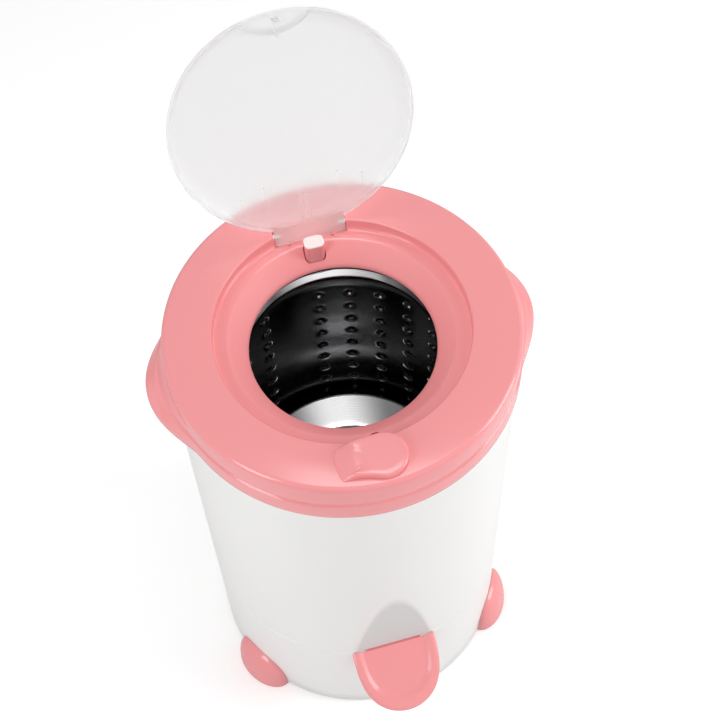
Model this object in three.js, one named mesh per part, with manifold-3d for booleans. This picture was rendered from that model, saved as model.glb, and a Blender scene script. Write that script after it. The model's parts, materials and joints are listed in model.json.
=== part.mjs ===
// A laundry spin dryer: a tall round casing on three feet with an open drain spout in front, a
// ring-shaped top cover with a hinged frosted lid and a rotary lid lock, and a perforated drum
// spun by the motor hung below it.
// Millimetres, +Z up, the drum's axis on Z, the front towards -Y, the floor at Z = 0.

import * as THREE from 'three';
import { mergeVertices } from 'three/addons/utils/BufferGeometryUtils.js';
import Module from 'manifold-3d';

const wasm = await Module();
wasm.setup();

// ---------------------------------------------------------------- driving dimensions

// whole machine
const coverTop = 594; // top face of the cover above the floor
const gap = 0.3; // left between pieces that touch
const runningGap = 0.7; // left between pieces that move past each other
const roundFaces = 48; // faces round a large circle
const innerFaces = 24; // faces round the large pieces inside the casing
const smallFaces = 16; // faces round a pin or a boss

// casing: base shell below the seam, body shell above it
const topRadius = 170.6; // outside, at the height of the cover's top
const footingRadius = 166.6; // outside, at the bottom edge
const casingWall = 2.6;
const baseLift = 4; // bottom edge above the floor
const seamHeight = 169;
const lipHeight = 8; // tongue of the base inside the body shell
const lipWall = 2;
const facetDepth = 6.5; // how deep the slanted face over the spout is cut, at the seam
const facetRise = 148; // from the seam up to where the slanted face runs out
const flatDrop = 29; // height of the upright flat under the seam, behind the spout
const flatRunOut = 64; // from the seam down to where the flat has run out

// feet
const footCount = 3;
const footHalfWidth = 38;
const footHeight = 52;
const footReach = 20.4; // how far a foot stands out of the casing at the floor
const soleDepth = 16; // how far its sole reaches in under the base

// drain spout
const spoutHalfWidth = 48;
const spoutReach = 64.5; // from the casing's flat to the lip's edge
const spoutFall = 42; // how much lower its rim is at the lip than at the casing
const spoutDish = 5; // depth of its floor below the rim, at the casing
const spoutLipDish = 3.4; // and at the lip
const spoutSheet = 3;
const inletHalfWidth = 31.7; // flat duct that leads the water from the pipe to the spout
const inletHeight = 9.2; // its top stands level with the spout's rim, under the body's edge
const inletWall = 2;
const inletBack = 102; // its rear end from the drum's axis
const drainX = -20;
const drainY = -112;
const drainRadius = 9;
const drainWall = 2;

// base pan and the posts for the suspension
const panThickness = 3;
const panFlangeWidth = 17;
const panStep = 4;
const postCount = 3;
const postCircle = 125;
const postRadius = 13;
const mountHeight = 30;
const mountRadius = 12;

// top cover
const coverWall = 2.6;
const plateThickness = 3;
const skirtDepth = 55.5;
const bandDepth = 30; // upper band of the side, above the groove
const rimRound = 5;
const grooveDepth = 0.9;
const recessRadius = 123.8;
const recessDepth = 13.2;
const ledgeInner = 110;
const mouthRadius = 91.1;
const mouthDepth = 31.8;
const collarDepth = 44;
const gripReach = 194; // outer edge of the carrying grips
const gripSpan = 27; // degrees to each side of the grip's middle
const gripSwing = 4; // how far back from the sides the grips' middles are, in degrees
const gripTopDepth = 19;

// lid and its hinge
const lidRadius = 118.4;
const lidWall = 2.2;
const lidDepth = 8.4; // top of the lid's rim below the cover's top
const lidLip = 4; // height of the rim's outer edge
const plateauRadius = 106;
const plateauDepth = 2;
const lidOpenAngle = 110;
const hingeY = 123;
const hingeDepth = 6;
const flapLength = 8; // tail of the lid beyond the hinge
const flapHalfWidth = 35.5;
const knuckleRadius = 3.4;
const knuckleLength = 4.6;
const pinRadius = 2;
const pocketDepth = 15.8;
const pocketFront = 114.6;
const ribHeight = 2;
const ribWidth = 1.2;

// lid lock: lever on top, crank, slide and hook below
const leverY = -144;
const leverHeadRadius = 22.5;
const leverTailReach = 45;
const leverHeight = 8;
const leverBevel = 2.4;
const leverShaftRadius = 4;
const crescentGap = 1.6; // between the lever's tail and the hollow in the lid
const crankReach = 12;
const crankPinRadius = 2;
const slideThickness = 3;
const slideDepth = 21.6; // underside of the slide below the cover's top
const hookY = -112.5;
const hookWidth = 6;
const hookThickness = 2.2;
const hookDepth = 24;

// interlock button by the hinge
const buttonWidth = 20;
const buttonDepth = 14.2;
const buttonY = 104;
const buttonTop = 1.5; // below the cover's top
const buttonCapHeight = 2;
const buttonStem = 34; // lower end of the stem below the cover's top
const bracketDepth = 53; // underside of the switch bracket below the cover's top

// drum, tub and drain
const drumClearance = 14; // between the drum's and the tub's outsides
const drumWall = 1.6;
const drumLift = 38.7; // drum's floor above the tub's
const drumDome = 20; // rise of the floor towards the hub
const drumLipRadius = 108;
const drumLipDepth = 64;
const tubRadius = 142;
const tubWall = 2.5;
const tubTopDepth = 60.3;
const sealOverlap = 0.7; // how far the mouth seal stands out beyond the cover's collar
const sealSpread = 5.6; // how much wider the seal is at its foot

// motor, shaft and brake
const shaftRadius = 7;
const motorRadius = 62;
const motorDrop = 35; // motor housing's top edge below the suspension plate
const motorHeight = 120;
const motorWall = 3;
const statorHeight = 66;
const rotorRadius = 38;
const airGap = 0.8;
const bearingRadius = 17;
const bearingHeight = 10;
const capThickness = 12;
const plateHeight = 200; // underside of the suspension plate
const plateSheet = 3;
const hangerCircle = 54;
const brakeDrumRadius = 30;
const brakeDrumHeight = 12;
const brakeDrumDrop = 4; // clear height between the brake drum and the plate
const brakePadThickness = 4.6;
const brakeArmThickness = 4;
const brakeArmPivotX = -46;
const brakeArmEndX = 44;
const brakeArmWidth = 8;
const brakePivotRadius = 3;
const brakeEyeRadius = 6.5;
const brakeCableRadius = 2;
const hubRadius = 30;
const hubNeckRadius = 18;
const hubClearance = 14; // hub's lower end above the tub's floor
const capacitorRadius = 18;
const capacitorHeight = 62;
const capacitorCrown = 3;
const capacitorStud = 6;
const capacitorX = -96;
const capacitorY = 62;

// heights and radii that follow from those above
const tubFloor = plateHeight + plateSheet + gap;
const drumRadius = tubRadius - drumClearance;
const motorBottom = plateHeight - motorDrop - motorHeight;
const drumFloor = tubFloor + drumLift;
const brakeDrumFloor = plateHeight - brakeDrumDrop - brakeDrumHeight;
const sealTopRadius = mouthRadius + coverWall + sealOverlap;

// ---------------------------------------------------------------- materials

const pinkColour = 0xe99698;
const whiteColour = 0xececea;
const darkColour = 0x2c2c2e;
const steelColour = 0xb9bbbd;

const plastic = (color, roughness = 0.35) =>
  new THREE.MeshStandardMaterial({ color, roughness, metalness: 0 });
const metal = (color, roughness = 0.3) =>
  new THREE.MeshStandardMaterial({ color, roughness, metalness: 1 });
const frosted = () =>
  new THREE.MeshStandardMaterial({
    color: 0xf4f4f4,
    roughness: 0.5,
    metalness: 0,
    transparent: true,
    opacity: 0.45,
  });

// ---------------------------------------------------------------- geometry helpers

const radians = THREE.MathUtils.degToRad;

// One welded, outward-facing solid from any closed three.js geometry.
function toSolid(geometry) {
  const bare = new THREE.BufferGeometry();
  bare.setAttribute('position', geometry.getAttribute('position').clone());
  if (geometry.index) bare.setIndex(geometry.index.clone());
  const welded = mergeVertices(bare, 1e-4);
  const points = welded.getAttribute('position');
  const corners = [];
  let volume = 0;
  const [a, b, c] = [new THREE.Vector3(), new THREE.Vector3(), new THREE.Vector3()];
  for (let i = 0; i < welded.index.count; i += 3) {
    const [p, q, r] = [0, 1, 2].map((k) => welded.index.getX(i + k));
    if (p === q || q === r || r === p) continue;
    a.fromBufferAttribute(points, p);
    b.fromBufferAttribute(points, q);
    c.fromBufferAttribute(points, r);
    volume += a.dot(b.cross(c));
    corners.push(p, q, r);
  }
  if (volume < 0) corners.reverse();
  return new wasm.Manifold(
    new wasm.Mesh({
      numProp: 3,
      vertProperties: new Float32Array(points.array),
      triVerts: new Uint32Array(corners),
    }),
  );
}

function toGeometry(solid) {
  const mesh = solid.getMesh();
  const geometry = new THREE.BufferGeometry();
  geometry.setAttribute('position', new THREE.BufferAttribute(mesh.vertProperties, 3));
  geometry.setIndex(new THREE.BufferAttribute(mesh.triVerts, 1));
  return geometry;
}

const join = (first, ...others) =>
  toGeometry(others.reduce((sum, next) => sum.add(toSolid(next)), toSolid(first)));
const cut = (first, ...others) =>
  toGeometry(others.reduce((rest, next) => rest.subtract(toSolid(next)), toSolid(first)));
const common = (first, second) => toGeometry(toSolid(first).intersect(toSolid(second)));

// A solid of revolution about Z from [radius, height] points that close on themselves.
function turned(profile, faces = roundFaces) {
  const closed = [...profile, profile[0]].map(([r, z]) => new THREE.Vector2(r, z));
  return toGeometry(toSolid(new THREE.LatheGeometry(closed, faces).rotateX(Math.PI / 2)));
}

// Points along an arc of a profile, from one angle to another, in degrees.
function arc(r, z, radius, from, to, steps = 4) {
  return Array.from({ length: steps + 1 }, (_, i) => {
    const angle = radians(from + ((to - from) * i) / steps);
    return [r + radius * Math.cos(angle), z + radius * Math.sin(angle)];
  });
}

// A sheet of even thickness: the line of its inner face, and the same line moved outwards.
function sheet(line, thickness) {
  const normals = line.map((_, i) => {
    const [r0, z0] = line[Math.max(i - 1, 0)];
    const [r1, z1] = line[Math.min(i + 1, line.length - 1)];
    const length = Math.hypot(r1 - r0, z1 - z0);
    return [(z1 - z0) / length, -(r1 - r0) / length];
  });
  const moved = line.map(([r, z], i) => [
    r + normals[i][0] * thickness,
    z + normals[i][1] * thickness,
  ]);
  return [...line, ...moved.reverse()];
}

const tube = (inner, outer, low, high, faces = roundFaces) =>
  turned(
    [
      [inner, low],
      [outer, low],
      [outer, high],
      [inner, high],
    ],
    faces,
  );

const rod = (radius, low, high, x = 0, y = 0, faces = smallFaces) =>
  new THREE.CylinderGeometry(radius, radius, high - low, faces)
    .rotateX(Math.PI / 2)
    .translate(x, y, (low + high) / 2);

const rodAlongX = (radius, x0, x1, y, z, faces = smallFaces) =>
  new THREE.CylinderGeometry(radius, radius, x1 - x0, faces)
    .rotateZ(Math.PI / 2)
    .translate((x0 + x1) / 2, y, z);

const block = ([x0, x1], [y0, y1], [z0, z1]) =>
  new THREE.BoxGeometry(x1 - x0, y1 - y0, z1 - z0).translate(
    (x0 + x1) / 2,
    (y0 + y1) / 2,
    (z0 + z1) / 2,
  );

const plate = (outline, low, high, curveSegments = 12) =>
  new THREE.ExtrudeGeometry(outline, {
    depth: high - low,
    bevelEnabled: false,
    curveSegments,
  }).translate(0, 0, low);

const outlineOf = (points) => new THREE.Shape(points.map(([x, y]) => new THREE.Vector2(x, y)));

// An outline of [y, z] points, made into a slab that runs along X.
function slabAlongX(points, halfWidth) {
  const basis = new THREE.Matrix4().makeBasis(
    new THREE.Vector3(0, 1, 0),
    new THREE.Vector3(0, 0, 1),
    new THREE.Vector3(1, 0, 0),
  );
  return plate(outlineOf(points), -halfWidth, halfWidth).applyMatrix4(basis);
}

// Skin over a stack of level loops with as many points each, closed at both ends.
function loft(loops) {
  const count = loops[0].length;
  const index = [];
  for (let j = 0; j + 1 < loops.length; j++) {
    for (let i = 0; i < count; i++) {
      const [a, b] = [j * count + i, j * count + ((i + 1) % count)];
      index.push(a, b, b + count, a, b + count, a + count);
    }
  }
  const last = (loops.length - 1) * count;
  const flat = (loop) => loop.map(([x, y]) => new THREE.Vector2(x, y));
  const capOf = (loop) => {
    const faces = THREE.ShapeUtils.triangulateShape(loop, []);
    const clockwise = THREE.ShapeUtils.isClockWise(loop);
    return clockwise ? faces.map((face) => [...face].reverse()) : faces;
  };
  for (const [a, b, c] of capOf(flat(loops[0]))) index.push(a, c, b);
  for (const [a, b, c] of capOf(flat(loops[loops.length - 1]))) {
    index.push(last + a, last + b, last + c);
  }
  const geometry = new THREE.BufferGeometry();
  geometry.setAttribute('position', new THREE.Float32BufferAttribute(loops.flat(2), 3));
  geometry.setIndex(index);
  return geometry;
}

// The same closed [x, y] loop drawn inwards by inset, anticlockwise seen from above.
function insetLoop(loop, inset) {
  return loop.map(([x, y], i) => {
    const [x0, y0] = loop[(i + loop.length - 1) % loop.length];
    const [x1, y1] = loop[(i + 1) % loop.length];
    const length = Math.hypot(x1 - x0, y1 - y0);
    return [x - (inset * (y1 - y0)) / length, y + (inset * (x1 - x0)) / length];
  });
}

const below = (depth) => coverTop - depth;

// ---------------------------------------------------------------- casing

const casingRadius = (z) =>
  footingRadius + ((topRadius - footingRadius) * (z - baseLift)) / (coverTop - baseLift);
const flatDistance = casingRadius(seamHeight) - facetDepth;
const facetTop = seamHeight + facetRise;
const flatEnd = seamHeight - flatRunOut;

// The casing's outer form moved inwards by inset, with the slanted face over the spout and the
// flat behind it.
function casingForm(inset, low, high) {
  const overshoot = 40;
  const drum = turned([
    [0, low],
    [casingRadius(low) - inset, low],
    [casingRadius(high) - inset, high],
    [0, high],
  ]);
  const facet = slabAlongX(
    [
      [-(casingRadius(flatEnd) - inset), flatEnd],
      [-(flatDistance - inset), seamHeight - flatDrop],
      [-(flatDistance - inset), seamHeight],
      [-(casingRadius(facetTop) - inset), facetTop],
      [-(casingRadius(facetTop) + overshoot), facetTop],
      [-(casingRadius(facetTop) + overshoot), flatEnd],
    ].reverse(),
    2 * spoutHalfWidth + 4,
  );
  return cut(drum, facet);
}

const skirtRadius = topRadius + gap + coverWall;
const coverSeat = below(bandDepth + 2);

function bodyShell() {
  const top = coverSeat - gap;
  return cut(
    casingForm(0, seamHeight + gap, top),
    casingForm(casingWall, seamHeight - 1, top + 1),
  );
}

function baseShell() {
  const flange = footingRadius - panFlangeWidth;
  const wall = cut(
    casingForm(0, baseLift, seamHeight),
    casingForm(casingWall, baseLift + casingWall, seamHeight + 1),
    rod(flange, baseLift - 1, baseLift + casingWall + 1, 0, 0, roundFaces),
  );
  const lipInset = casingWall + gap;
  const lip = cut(
    casingForm(lipInset, seamHeight - lipHeight, seamHeight + lipHeight),
    casingForm(lipInset + lipWall, seamHeight - lipHeight - 1, seamHeight + lipHeight + 1),
  );
  const root = cut(
    casingForm(casingWall - lipWall, seamHeight - lipHeight, seamHeight),
    casingForm(lipInset + lipWall, seamHeight - lipHeight - 1, seamHeight + 1),
  );
  return join(wall, lip, root);
}

// Floor of the base: a dished disc on the base's flange, with vents and three hollow posts.
const postTop = plateHeight - gap - mountHeight - gap;
const postAngles = Array.from({ length: postCount }, (_, i) => 90 + (i * 360) / postCount);

function basePan() {
  const flange = footingRadius - panFlangeWidth;
  const dish = flange - 2;
  const edge = flatDistance - casingWall - 1.5;
  const seat = baseLift + casingWall + gap;
  const disc = turned([
    [0, baseLift],
    [dish, baseLift],
    [dish + 1, seat],
    [edge, seat],
    [edge, seat + panThickness],
    [dish - panStep, seat + panThickness],
    [dish - panStep - 1, baseLift + panThickness],
    [0, baseLift + panThickness],
  ]);
  const vents = Array.from({ length: 12 }, (_, i) =>
    block([78, 104], [-2.5, 2.5], [baseLift - 1, baseLift + panThickness + 1]).rotateZ(
      radians(i * 30 + 15),
    ),
  );
  const posts = postAngles.map((angle) =>
    rod(postRadius, baseLift + 1, postTop, postCircle).rotateZ(radians(angle)),
  );
  return join(cut(disc, ...vents), ...posts);
}

// ---------------------------------------------------------------- feet

// A rounded toe that stands out of the base's wall, with a sole that reaches in under its edge.
function foot() {
  const heights = [0, 1.5, 4, 12, 21, 30, 38, 45, 50, footHeight];
  const steps = 14;
  const share = (z, power) => (1 - (z / (footHeight + 0.4)) ** power) ** (1 / power);
  const loops = heights.map((z) => {
    const rounding = z === 0 ? 1.2 : 0;
    const half = footHalfWidth * share(z, 2.8) - rounding;
    const out = footReach * share(z, 1.8) - rounding;
    const front = Array.from({ length: steps + 1 }, (_, i) => {
      const angle = (Math.PI * i) / steps;
      const x = -half * Math.cos(angle);
      const wall = Math.sqrt(footingRadius ** 2 - x ** 2);
      return [x, -(wall + out * Math.sin(angle) ** 0.8), z];
    });
    const back = -(footingRadius - soleDepth);
    return [[-half, back, z], ...front, [half, back, z]];
  });
  return cut(loft(loops), casingForm(-gap, baseLift - gap, footHeight + 5));
}

// ---------------------------------------------------------------- drain spout

const spoutRoot = flatDistance + gap;
const inletTop = seamHeight - gap;
const inletLow = inletTop - inletHeight;

// A point of the spout's dish: turn goes round its edge from the left corner by the tip to the
// right one, and share from the middle of its root out to the edge.
function dishPoint(turn, share, underneath) {
  const across = -Math.cos(turn) * share;
  const out = Math.sin(turn) ** (2 / 3) * share;
  const side = THREE.MathUtils.smoothstep(share, 0.68, 0.97);
  const rim = seamHeight - gap - spoutFall * out;
  const dish = spoutDish + (spoutLipDish - spoutDish) * out;
  const sheetHere = spoutSheet + 2 * side;
  const z = rim - dish * (1 - side) - (underneath ? sheetHere : 0);
  return [across * spoutHalfWidth, -(spoutRoot + spoutReach * out), z];
}

function drainSpout() {
  const shares = [0, 0.35, 0.68, 0.75, 0.82, 0.9, 0.97, 1];
  const steps = 20;
  const loops = Array.from({ length: steps + 1 }, (_, i) => {
    const turn = (Math.PI * i) / steps;
    const above = shares.map((share) => dishPoint(turn, share, false));
    const beneath = shares.map((share) => dishPoint(turn, share, true));
    return [...above, ...beneath.reverse()];
  });
  const count = loops[0].length;
  const index = [];
  for (let i = 0; i < steps; i++) {
    for (let j = 0; j < count; j++) {
      const [a, b] = [i * count + j, i * count + ((j + 1) % count)];
      index.push(a, b, b + count, a, b + count, a + count);
    }
  }
  for (const start of [0, steps * count]) {
    for (let j = 0; j < shares.length - 1; j++) {
      const [a, b] = [start + j, start + j + 1];
      const [c, d] = [start + count - 2 - j, start + count - 1 - j];
      if (start === 0) index.push(a, c, b, a, d, c);
      else index.push(a, b, c, a, c, d);
    }
  }
  const dish = new THREE.BufferGeometry();
  dish.setAttribute('position', new THREE.Float32BufferAttribute(loops.flat(2), 3));
  dish.setIndex(index);
  const floor = inletTop - spoutDish;
  const duct = block([-inletHalfWidth, inletHalfWidth], [-(spoutRoot + 0.6), -inletBack], [
    inletLow,
    inletTop,
  ]);
  const channel = [-inletHalfWidth + inletWall, inletHalfWidth - inletWall];
  const bore = block(channel, [-(spoutRoot + 1), -(inletBack + inletWall)], [
    floor,
    inletTop - inletWall,
  ]);
  const mouth = block(channel, [-(spoutRoot + 1), -(flatDistance - casingWall - 2)], [
    floor,
    inletTop + 1,
  ]);
  const front = block([-inletHalfWidth - 1, inletHalfWidth + 1], [-(spoutRoot + 1), -spoutRoot], [
    floor,
    inletTop + 1,
  ]);
  const socket = rod(drainRadius + gap, inletTop - inletWall - 1, inletTop + 1, drainX, drainY);
  return cut(join(dish, duct), bore, mouth, front, socket);
}

// Notch in the top of the base's flat through which the spout's duct passes.
const spoutWindow = () =>
  block(
    [-inletHalfWidth - gap, inletHalfWidth + gap],
    [-(spoutRoot + 2), -(flatDistance - casingWall - lipWall - 1)],
    [inletLow - gap, seamHeight + lipHeight + 1],
  );

// ---------------------------------------------------------------- top cover

const bandRadius = skirtRadius - 0.8;

function coverRing() {
  const inside = bandRadius - coverWall - 1;
  const slopeIn = ledgeInner + 1.2;
  return turned([
    [recessRadius, below(1.2)],
    [recessRadius + 1.2, coverTop],
    ...arc(bandRadius - 0.6 - rimRound, below(rimRound), rimRound, 90, 0, 3),
    [bandRadius, below(bandDepth)],
    [bandRadius - grooveDepth, below(bandDepth + 0.8)],
    [bandRadius - grooveDepth, below(bandDepth + 2)],
    [skirtRadius - 0.2, below(bandDepth + 3.2)],
    [skirtRadius, below(skirtDepth)],
    [skirtRadius - coverWall, below(skirtDepth)],
    [skirtRadius - coverWall, coverSeat],
    [inside, coverSeat],
    [inside, below(plateThickness + 4)],
    [inside - 4, below(plateThickness)],
    [recessRadius + coverWall, below(plateThickness)],
    [recessRadius + coverWall, below(recessDepth + coverWall)],
    [slopeIn, below(recessDepth + coverWall + 0.4)],
    [mouthRadius + coverWall, below(mouthDepth + 1.4)],
    [mouthRadius + coverWall, below(collarDepth)],
    [mouthRadius, below(collarDepth)],
    [mouthRadius, below(mouthDepth)],
    [ledgeInner, below(recessDepth + 0.4)],
    [recessRadius - 1.5, below(recessDepth)],
    [recessRadius, below(recessDepth - 1.5)],
  ]);
}

// A carrying grip: a bulge of the lower band with a hollowed top, centred on +X.
function grip() {
  const root = skirtRadius - coverWall / 2;
  const steps = 16;
  const bulge = Array.from({ length: steps + 1 }, (_, i) => {
    const share = (2 * i) / steps - 1;
    const radius = root + (gripReach - root) * Math.cos((Math.PI / 2) * share) ** 1.5;
    const angle = radians(gripSpan * share);
    return [radius * Math.cos(angle), radius * Math.sin(angle)];
  });
  const inner = [root - 0.9, 0];
  const outline = outlineOf([inner, ...bulge]);
  const section = turned([
    [root - 60, below(skirtDepth)],
    [gripReach - 3, below(skirtDepth)],
    ...arc(gripReach - 3, below(skirtDepth - 3), 3, -90, 0, 2),
    [gripReach, below(skirtDepth - 8)],
    [gripReach - 3, below(skirtDepth - 12)],
    [skirtRadius + 7, below(gripTopDepth + 14)],
    [skirtRadius + 2.5, below(gripTopDepth + 6)],
    [root, below(gripTopDepth)],
    [root - 60, below(gripTopDepth)],
  ]);
  const hollow = rod(root - 0.9, below(skirtDepth + 1), coverTop, 0, 0, roundFaces);
  return cut(common(plate(outline, below(skirtDepth), below(gripTopDepth)), section), hollow);
}

const pocketHalf = flapHalfWidth + 1.5;
const pocketBack = hingeY + flapLength + 2;
const hingeZ = below(hingeDepth);

// Well behind the recess in which the lid's hinge flap swings, with its walls.
function hingeWell() {
  const outside = block(
    [-pocketHalf - coverWall, pocketHalf + coverWall],
    [pocketFront - coverWall, pocketBack + coverWall],
    [below(pocketDepth + coverWall), below(0.5)],
  );
  const recess = rod(recessRadius, below(recessDepth), coverTop + 1, 0, 0, roundFaces);
  return cut(outside, recess);
}

// A rib on the well's front wall, under the shut flap, on which the open flap comes to rest.
function stopRib(x) {
  return block([x - 1.5, x + 1.5], [pocketFront - 1, pocketFront + 0.8], [
    below(pocketDepth + 1),
    below(lidDepth + lidWall + gap),
  ]);
}

function topCover() {
  const swing = radians(gripSwing);
  const grips = [grip().rotateZ(swing), grip().rotateZ(Math.PI - swing)];
  const ring = join(coverRing(), ...grips, hingeWell());
  const well = block(
    [-pocketHalf, pocketHalf],
    [pocketFront, pocketBack],
    [below(pocketDepth), coverTop + 1],
  );
  const buttonHole = block(
    [-buttonWidth / 2 - runningGap, buttonWidth / 2 + runningGap],
    [buttonY - buttonDepth / 2 - runningGap, buttonY + buttonDepth / 2 + runningGap],
    [below(collarDepth), coverTop],
  );
  const hookSlot = block(
    [-hookWidth / 2 - 1.2, hookWidth / 2 + 1.2],
    [hookY - hookThickness - 0.2, hookY + hookThickness + 0.2],
    [below(recessDepth + 6), below(recessDepth - 3)],
  );
  const pinHoles = [-1, 1].map((side) =>
    rodAlongX(
      pinRadius + gap,
      side * (pocketHalf + coverWall / 2) - 2.4,
      side * (pocketHalf + coverWall / 2) + 2.4,
      hingeY,
      hingeZ,
      12,
    ),
  );
  const shaftHole = rod(leverShaftRadius + gap, below(plateThickness + 1), coverTop + 1, 0, leverY);
  const holed = cut(ring, well, buttonHole, hookSlot, shaftHole, ...pinHoles);
  return join(holed, stopRib(-22), stopRib(22));
}

// ---------------------------------------------------------------- lid and hinge pins

// The lid is drawn shut, under its hinge axis, and its group turns it open.
function lid() {
  const rimTop = below(lidDepth);
  const rimBottom = below(lidDepth + lidWall);
  const top = below(plateauDepth);
  const outer = [
    [0, rimBottom],
    [0, top],
    [plateauRadius - 3, top - 0.4],
    [plateauRadius - 0.6, top - 1.8],
    [plateauRadius, top - 4],
    [plateauRadius + 0.6, rimTop],
    [lidRadius - 1, rimTop],
    [lidRadius, rimTop - 1],
    [lidRadius, rimBottom],
  ];
  const filled = turned(outer);
  const dished = turned([
    [0, top - lidWall],
    [0, top],
    ...outer.slice(2, 8),
    [lidRadius, rimTop - lidLip],
    [lidRadius - lidWall, rimTop - lidLip],
    [lidRadius - lidWall, rimBottom],
    [plateauRadius - lidWall + 0.6, rimBottom],
    [plateauRadius - lidWall, top - 4.6],
    [plateauRadius - lidWall - 1.6, top - lidWall - 0.4],
  ]);
  const hollowRadius = leverTailReach + crescentGap;
  const hollowFaces = 32;
  const around = (radius, low, high) => rod(radius, low, high, 0, leverY, hollowFaces);
  const tray = common(
    cut(
      around(hollowRadius + lidWall, rimBottom, coverTop),
      around(hollowRadius, rimTop, coverTop + 1),
    ),
    filled,
  );
  const headNotch = around(leverHeadRadius + 1.5, rimTop - lidLip - 1, coverTop + 1);
  const lipBreak = block(
    [-flapHalfWidth, flapHalfWidth],
    [hingeY - 20, hingeY],
    [rimTop - lidLip - 1, rimBottom],
  );
  const opened = cut(
    dished,
    around(hollowRadius + 1, rimBottom + 0.6, coverTop + 1),
    lipBreak,
  );
  const flap = block(
    [-flapHalfWidth, flapHalfWidth],
    [hingeY - 12, hingeY + flapLength],
    [rimBottom, rimTop],
  );
  const knuckles = [-1, 1].map((side) => {
    const middle = side * (flapHalfWidth - knuckleLength / 2);
    const [x0, x1] = [middle - knuckleLength / 2, middle + knuckleLength / 2];
    return rodAlongX(knuckleRadius, x0, x1, hingeY, hingeZ);
  });
  const bores = [-1, 1].map((side) => {
    const middle = side * (flapHalfWidth - knuckleLength / 2);
    const reach = knuckleLength / 2 + 1;
    return rodAlongX(pinRadius + gap, middle - reach, middle + reach, hingeY, hingeZ, 12);
  });
  const hook = cut(
    block(
      [-hookWidth / 2, hookWidth / 2],
      [hookY - hookThickness / 2, hookY + hookThickness / 2],
      [below(hookDepth), rimBottom + 1],
    ),
    block(
      [-hookWidth, hookWidth / 4],
      [hookY - hookThickness, hookY + hookThickness],
      [below(slideDepth + 0.6), below(slideDepth - slideThickness - 0.6)],
    ),
  );
  const hookWeb = block(
    [-ribWidth, ribWidth],
    [hookY, leverY + hollowRadius + lidWall],
    [rimBottom - ribHeight, rimBottom + 1],
  );
  const pressRibs = [-5, 0, 5].map((x) =>
    block(
      [x - ribWidth / 2, x + ribWidth / 2],
      [hingeY - 44, hingeY - 17],
      [top - lidWall - ribHeight, top - 1],
    ),
  );
  const strakes = [-1, 1].map((side) =>
    block(
      [side * 36.5 - ribWidth / 2, side * 36.5 + ribWidth / 2],
      [hingeY - 58, hingeY - 26],
      [top - lidWall - ribHeight, top - 1],
    ),
  );
  const disc = cut(join(opened, tray), headNotch);
  const body = join(disc, flap, ...knuckles, hook, hookWeb, ...pressRibs, ...strakes);
  return cut(body, ...bores).translate(0, -hingeY, -hingeZ);
}

function hingePin(side) {
  const [inner, outer] = [flapHalfWidth - knuckleLength - 1, pocketHalf + coverWall];
  const [x0, x1] = side < 0 ? [-outer, -inner] : [inner, outer];
  return rodAlongX(pinRadius, x0, x1, hingeY, hingeZ, 12);
}

// ---------------------------------------------------------------- lid lock

function leverOutline() {
  const tailStart = radians(154);
  const tailEnd = radians(200);
  const headStart = radians(246);
  const outline = new THREE.Shape();
  outline.absarc(0, 0, leverTailReach, tailStart, tailEnd, false);
  outline.bezierCurveTo(
    -leverTailReach * 0.76,
    -leverHeadRadius * 0.62,
    -leverHeadRadius * 1.05,
    -leverHeadRadius * 0.62,
    leverHeadRadius * Math.cos(headStart),
    leverHeadRadius * Math.sin(headStart),
  );
  outline.absarc(0, 0, leverHeadRadius, headStart, radians(450), false);
  outline.closePath();
  return outline;
}

const leverSocket = 5; // how far the shaft reaches into the lever

// The lever's outline as an even loop of points, with its corners eased.
function leverLoop() {
  const points = leverOutline()
    .getSpacedPoints(52)
    .slice(0, 52)
    .map(({ x, y }) => [x, y]);
  const eased = (loop) =>
    loop.map(([x, y], i) => {
      const [x0, y0] = loop[(i + loop.length - 1) % loop.length];
      const [x1, y1] = loop[(i + 1) % loop.length];
      return [(x0 + 2 * x + x1) / 4, (y0 + 2 * y + y1) / 4];
    });
  return eased(eased(points));
}

function latchLever() {
  const loop = leverLoop();
  const level = (inset, z) => insetLoop(loop, inset).map(([x, y]) => [x, y, z]);
  const top = coverTop + leverHeight;
  const slab = loft([
    level(0, coverTop + gap),
    level(0, top - leverBevel),
    level(leverBevel * 0.3, top - leverBevel * 0.3),
    level(leverBevel, top),
  ]);
  return cut(slab, rod(leverShaftRadius + gap, below(1), coverTop + leverSocket));
}

const crankTop = slideDepth + 2.2;
const crankThickness = 3;

const leverShaft = () =>
  rod(leverShaftRadius, below(crankTop + crankThickness + 0.4), coverTop + leverSocket - gap);

const crankAngle = 135;

function leverCrank() {
  const pinX = crankReach * Math.cos(radians(crankAngle));
  const pinY = crankReach * Math.sin(radians(crankAngle));
  const [low, high] = [below(crankTop + crankThickness), below(crankTop)];
  const arm = block([0, crankReach], [-3.5, 3.5], [low, high]).rotateZ(radians(crankAngle));
  const solid = join(
    rod(leverShaftRadius + 4, low, high),
    arm,
    rod(3.5, low, high, pinX, pinY),
    rod(crankPinRadius, low, below(slideDepth - slideThickness - 1), pinX, pinY, 12),
  );
  return cut(solid, rod(leverShaftRadius + gap, low - 1, high + 1));
}

const crankPinX = crankReach * Math.cos(radians(crankAngle));
const slideTravel = -2 * crankPinX;

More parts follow.
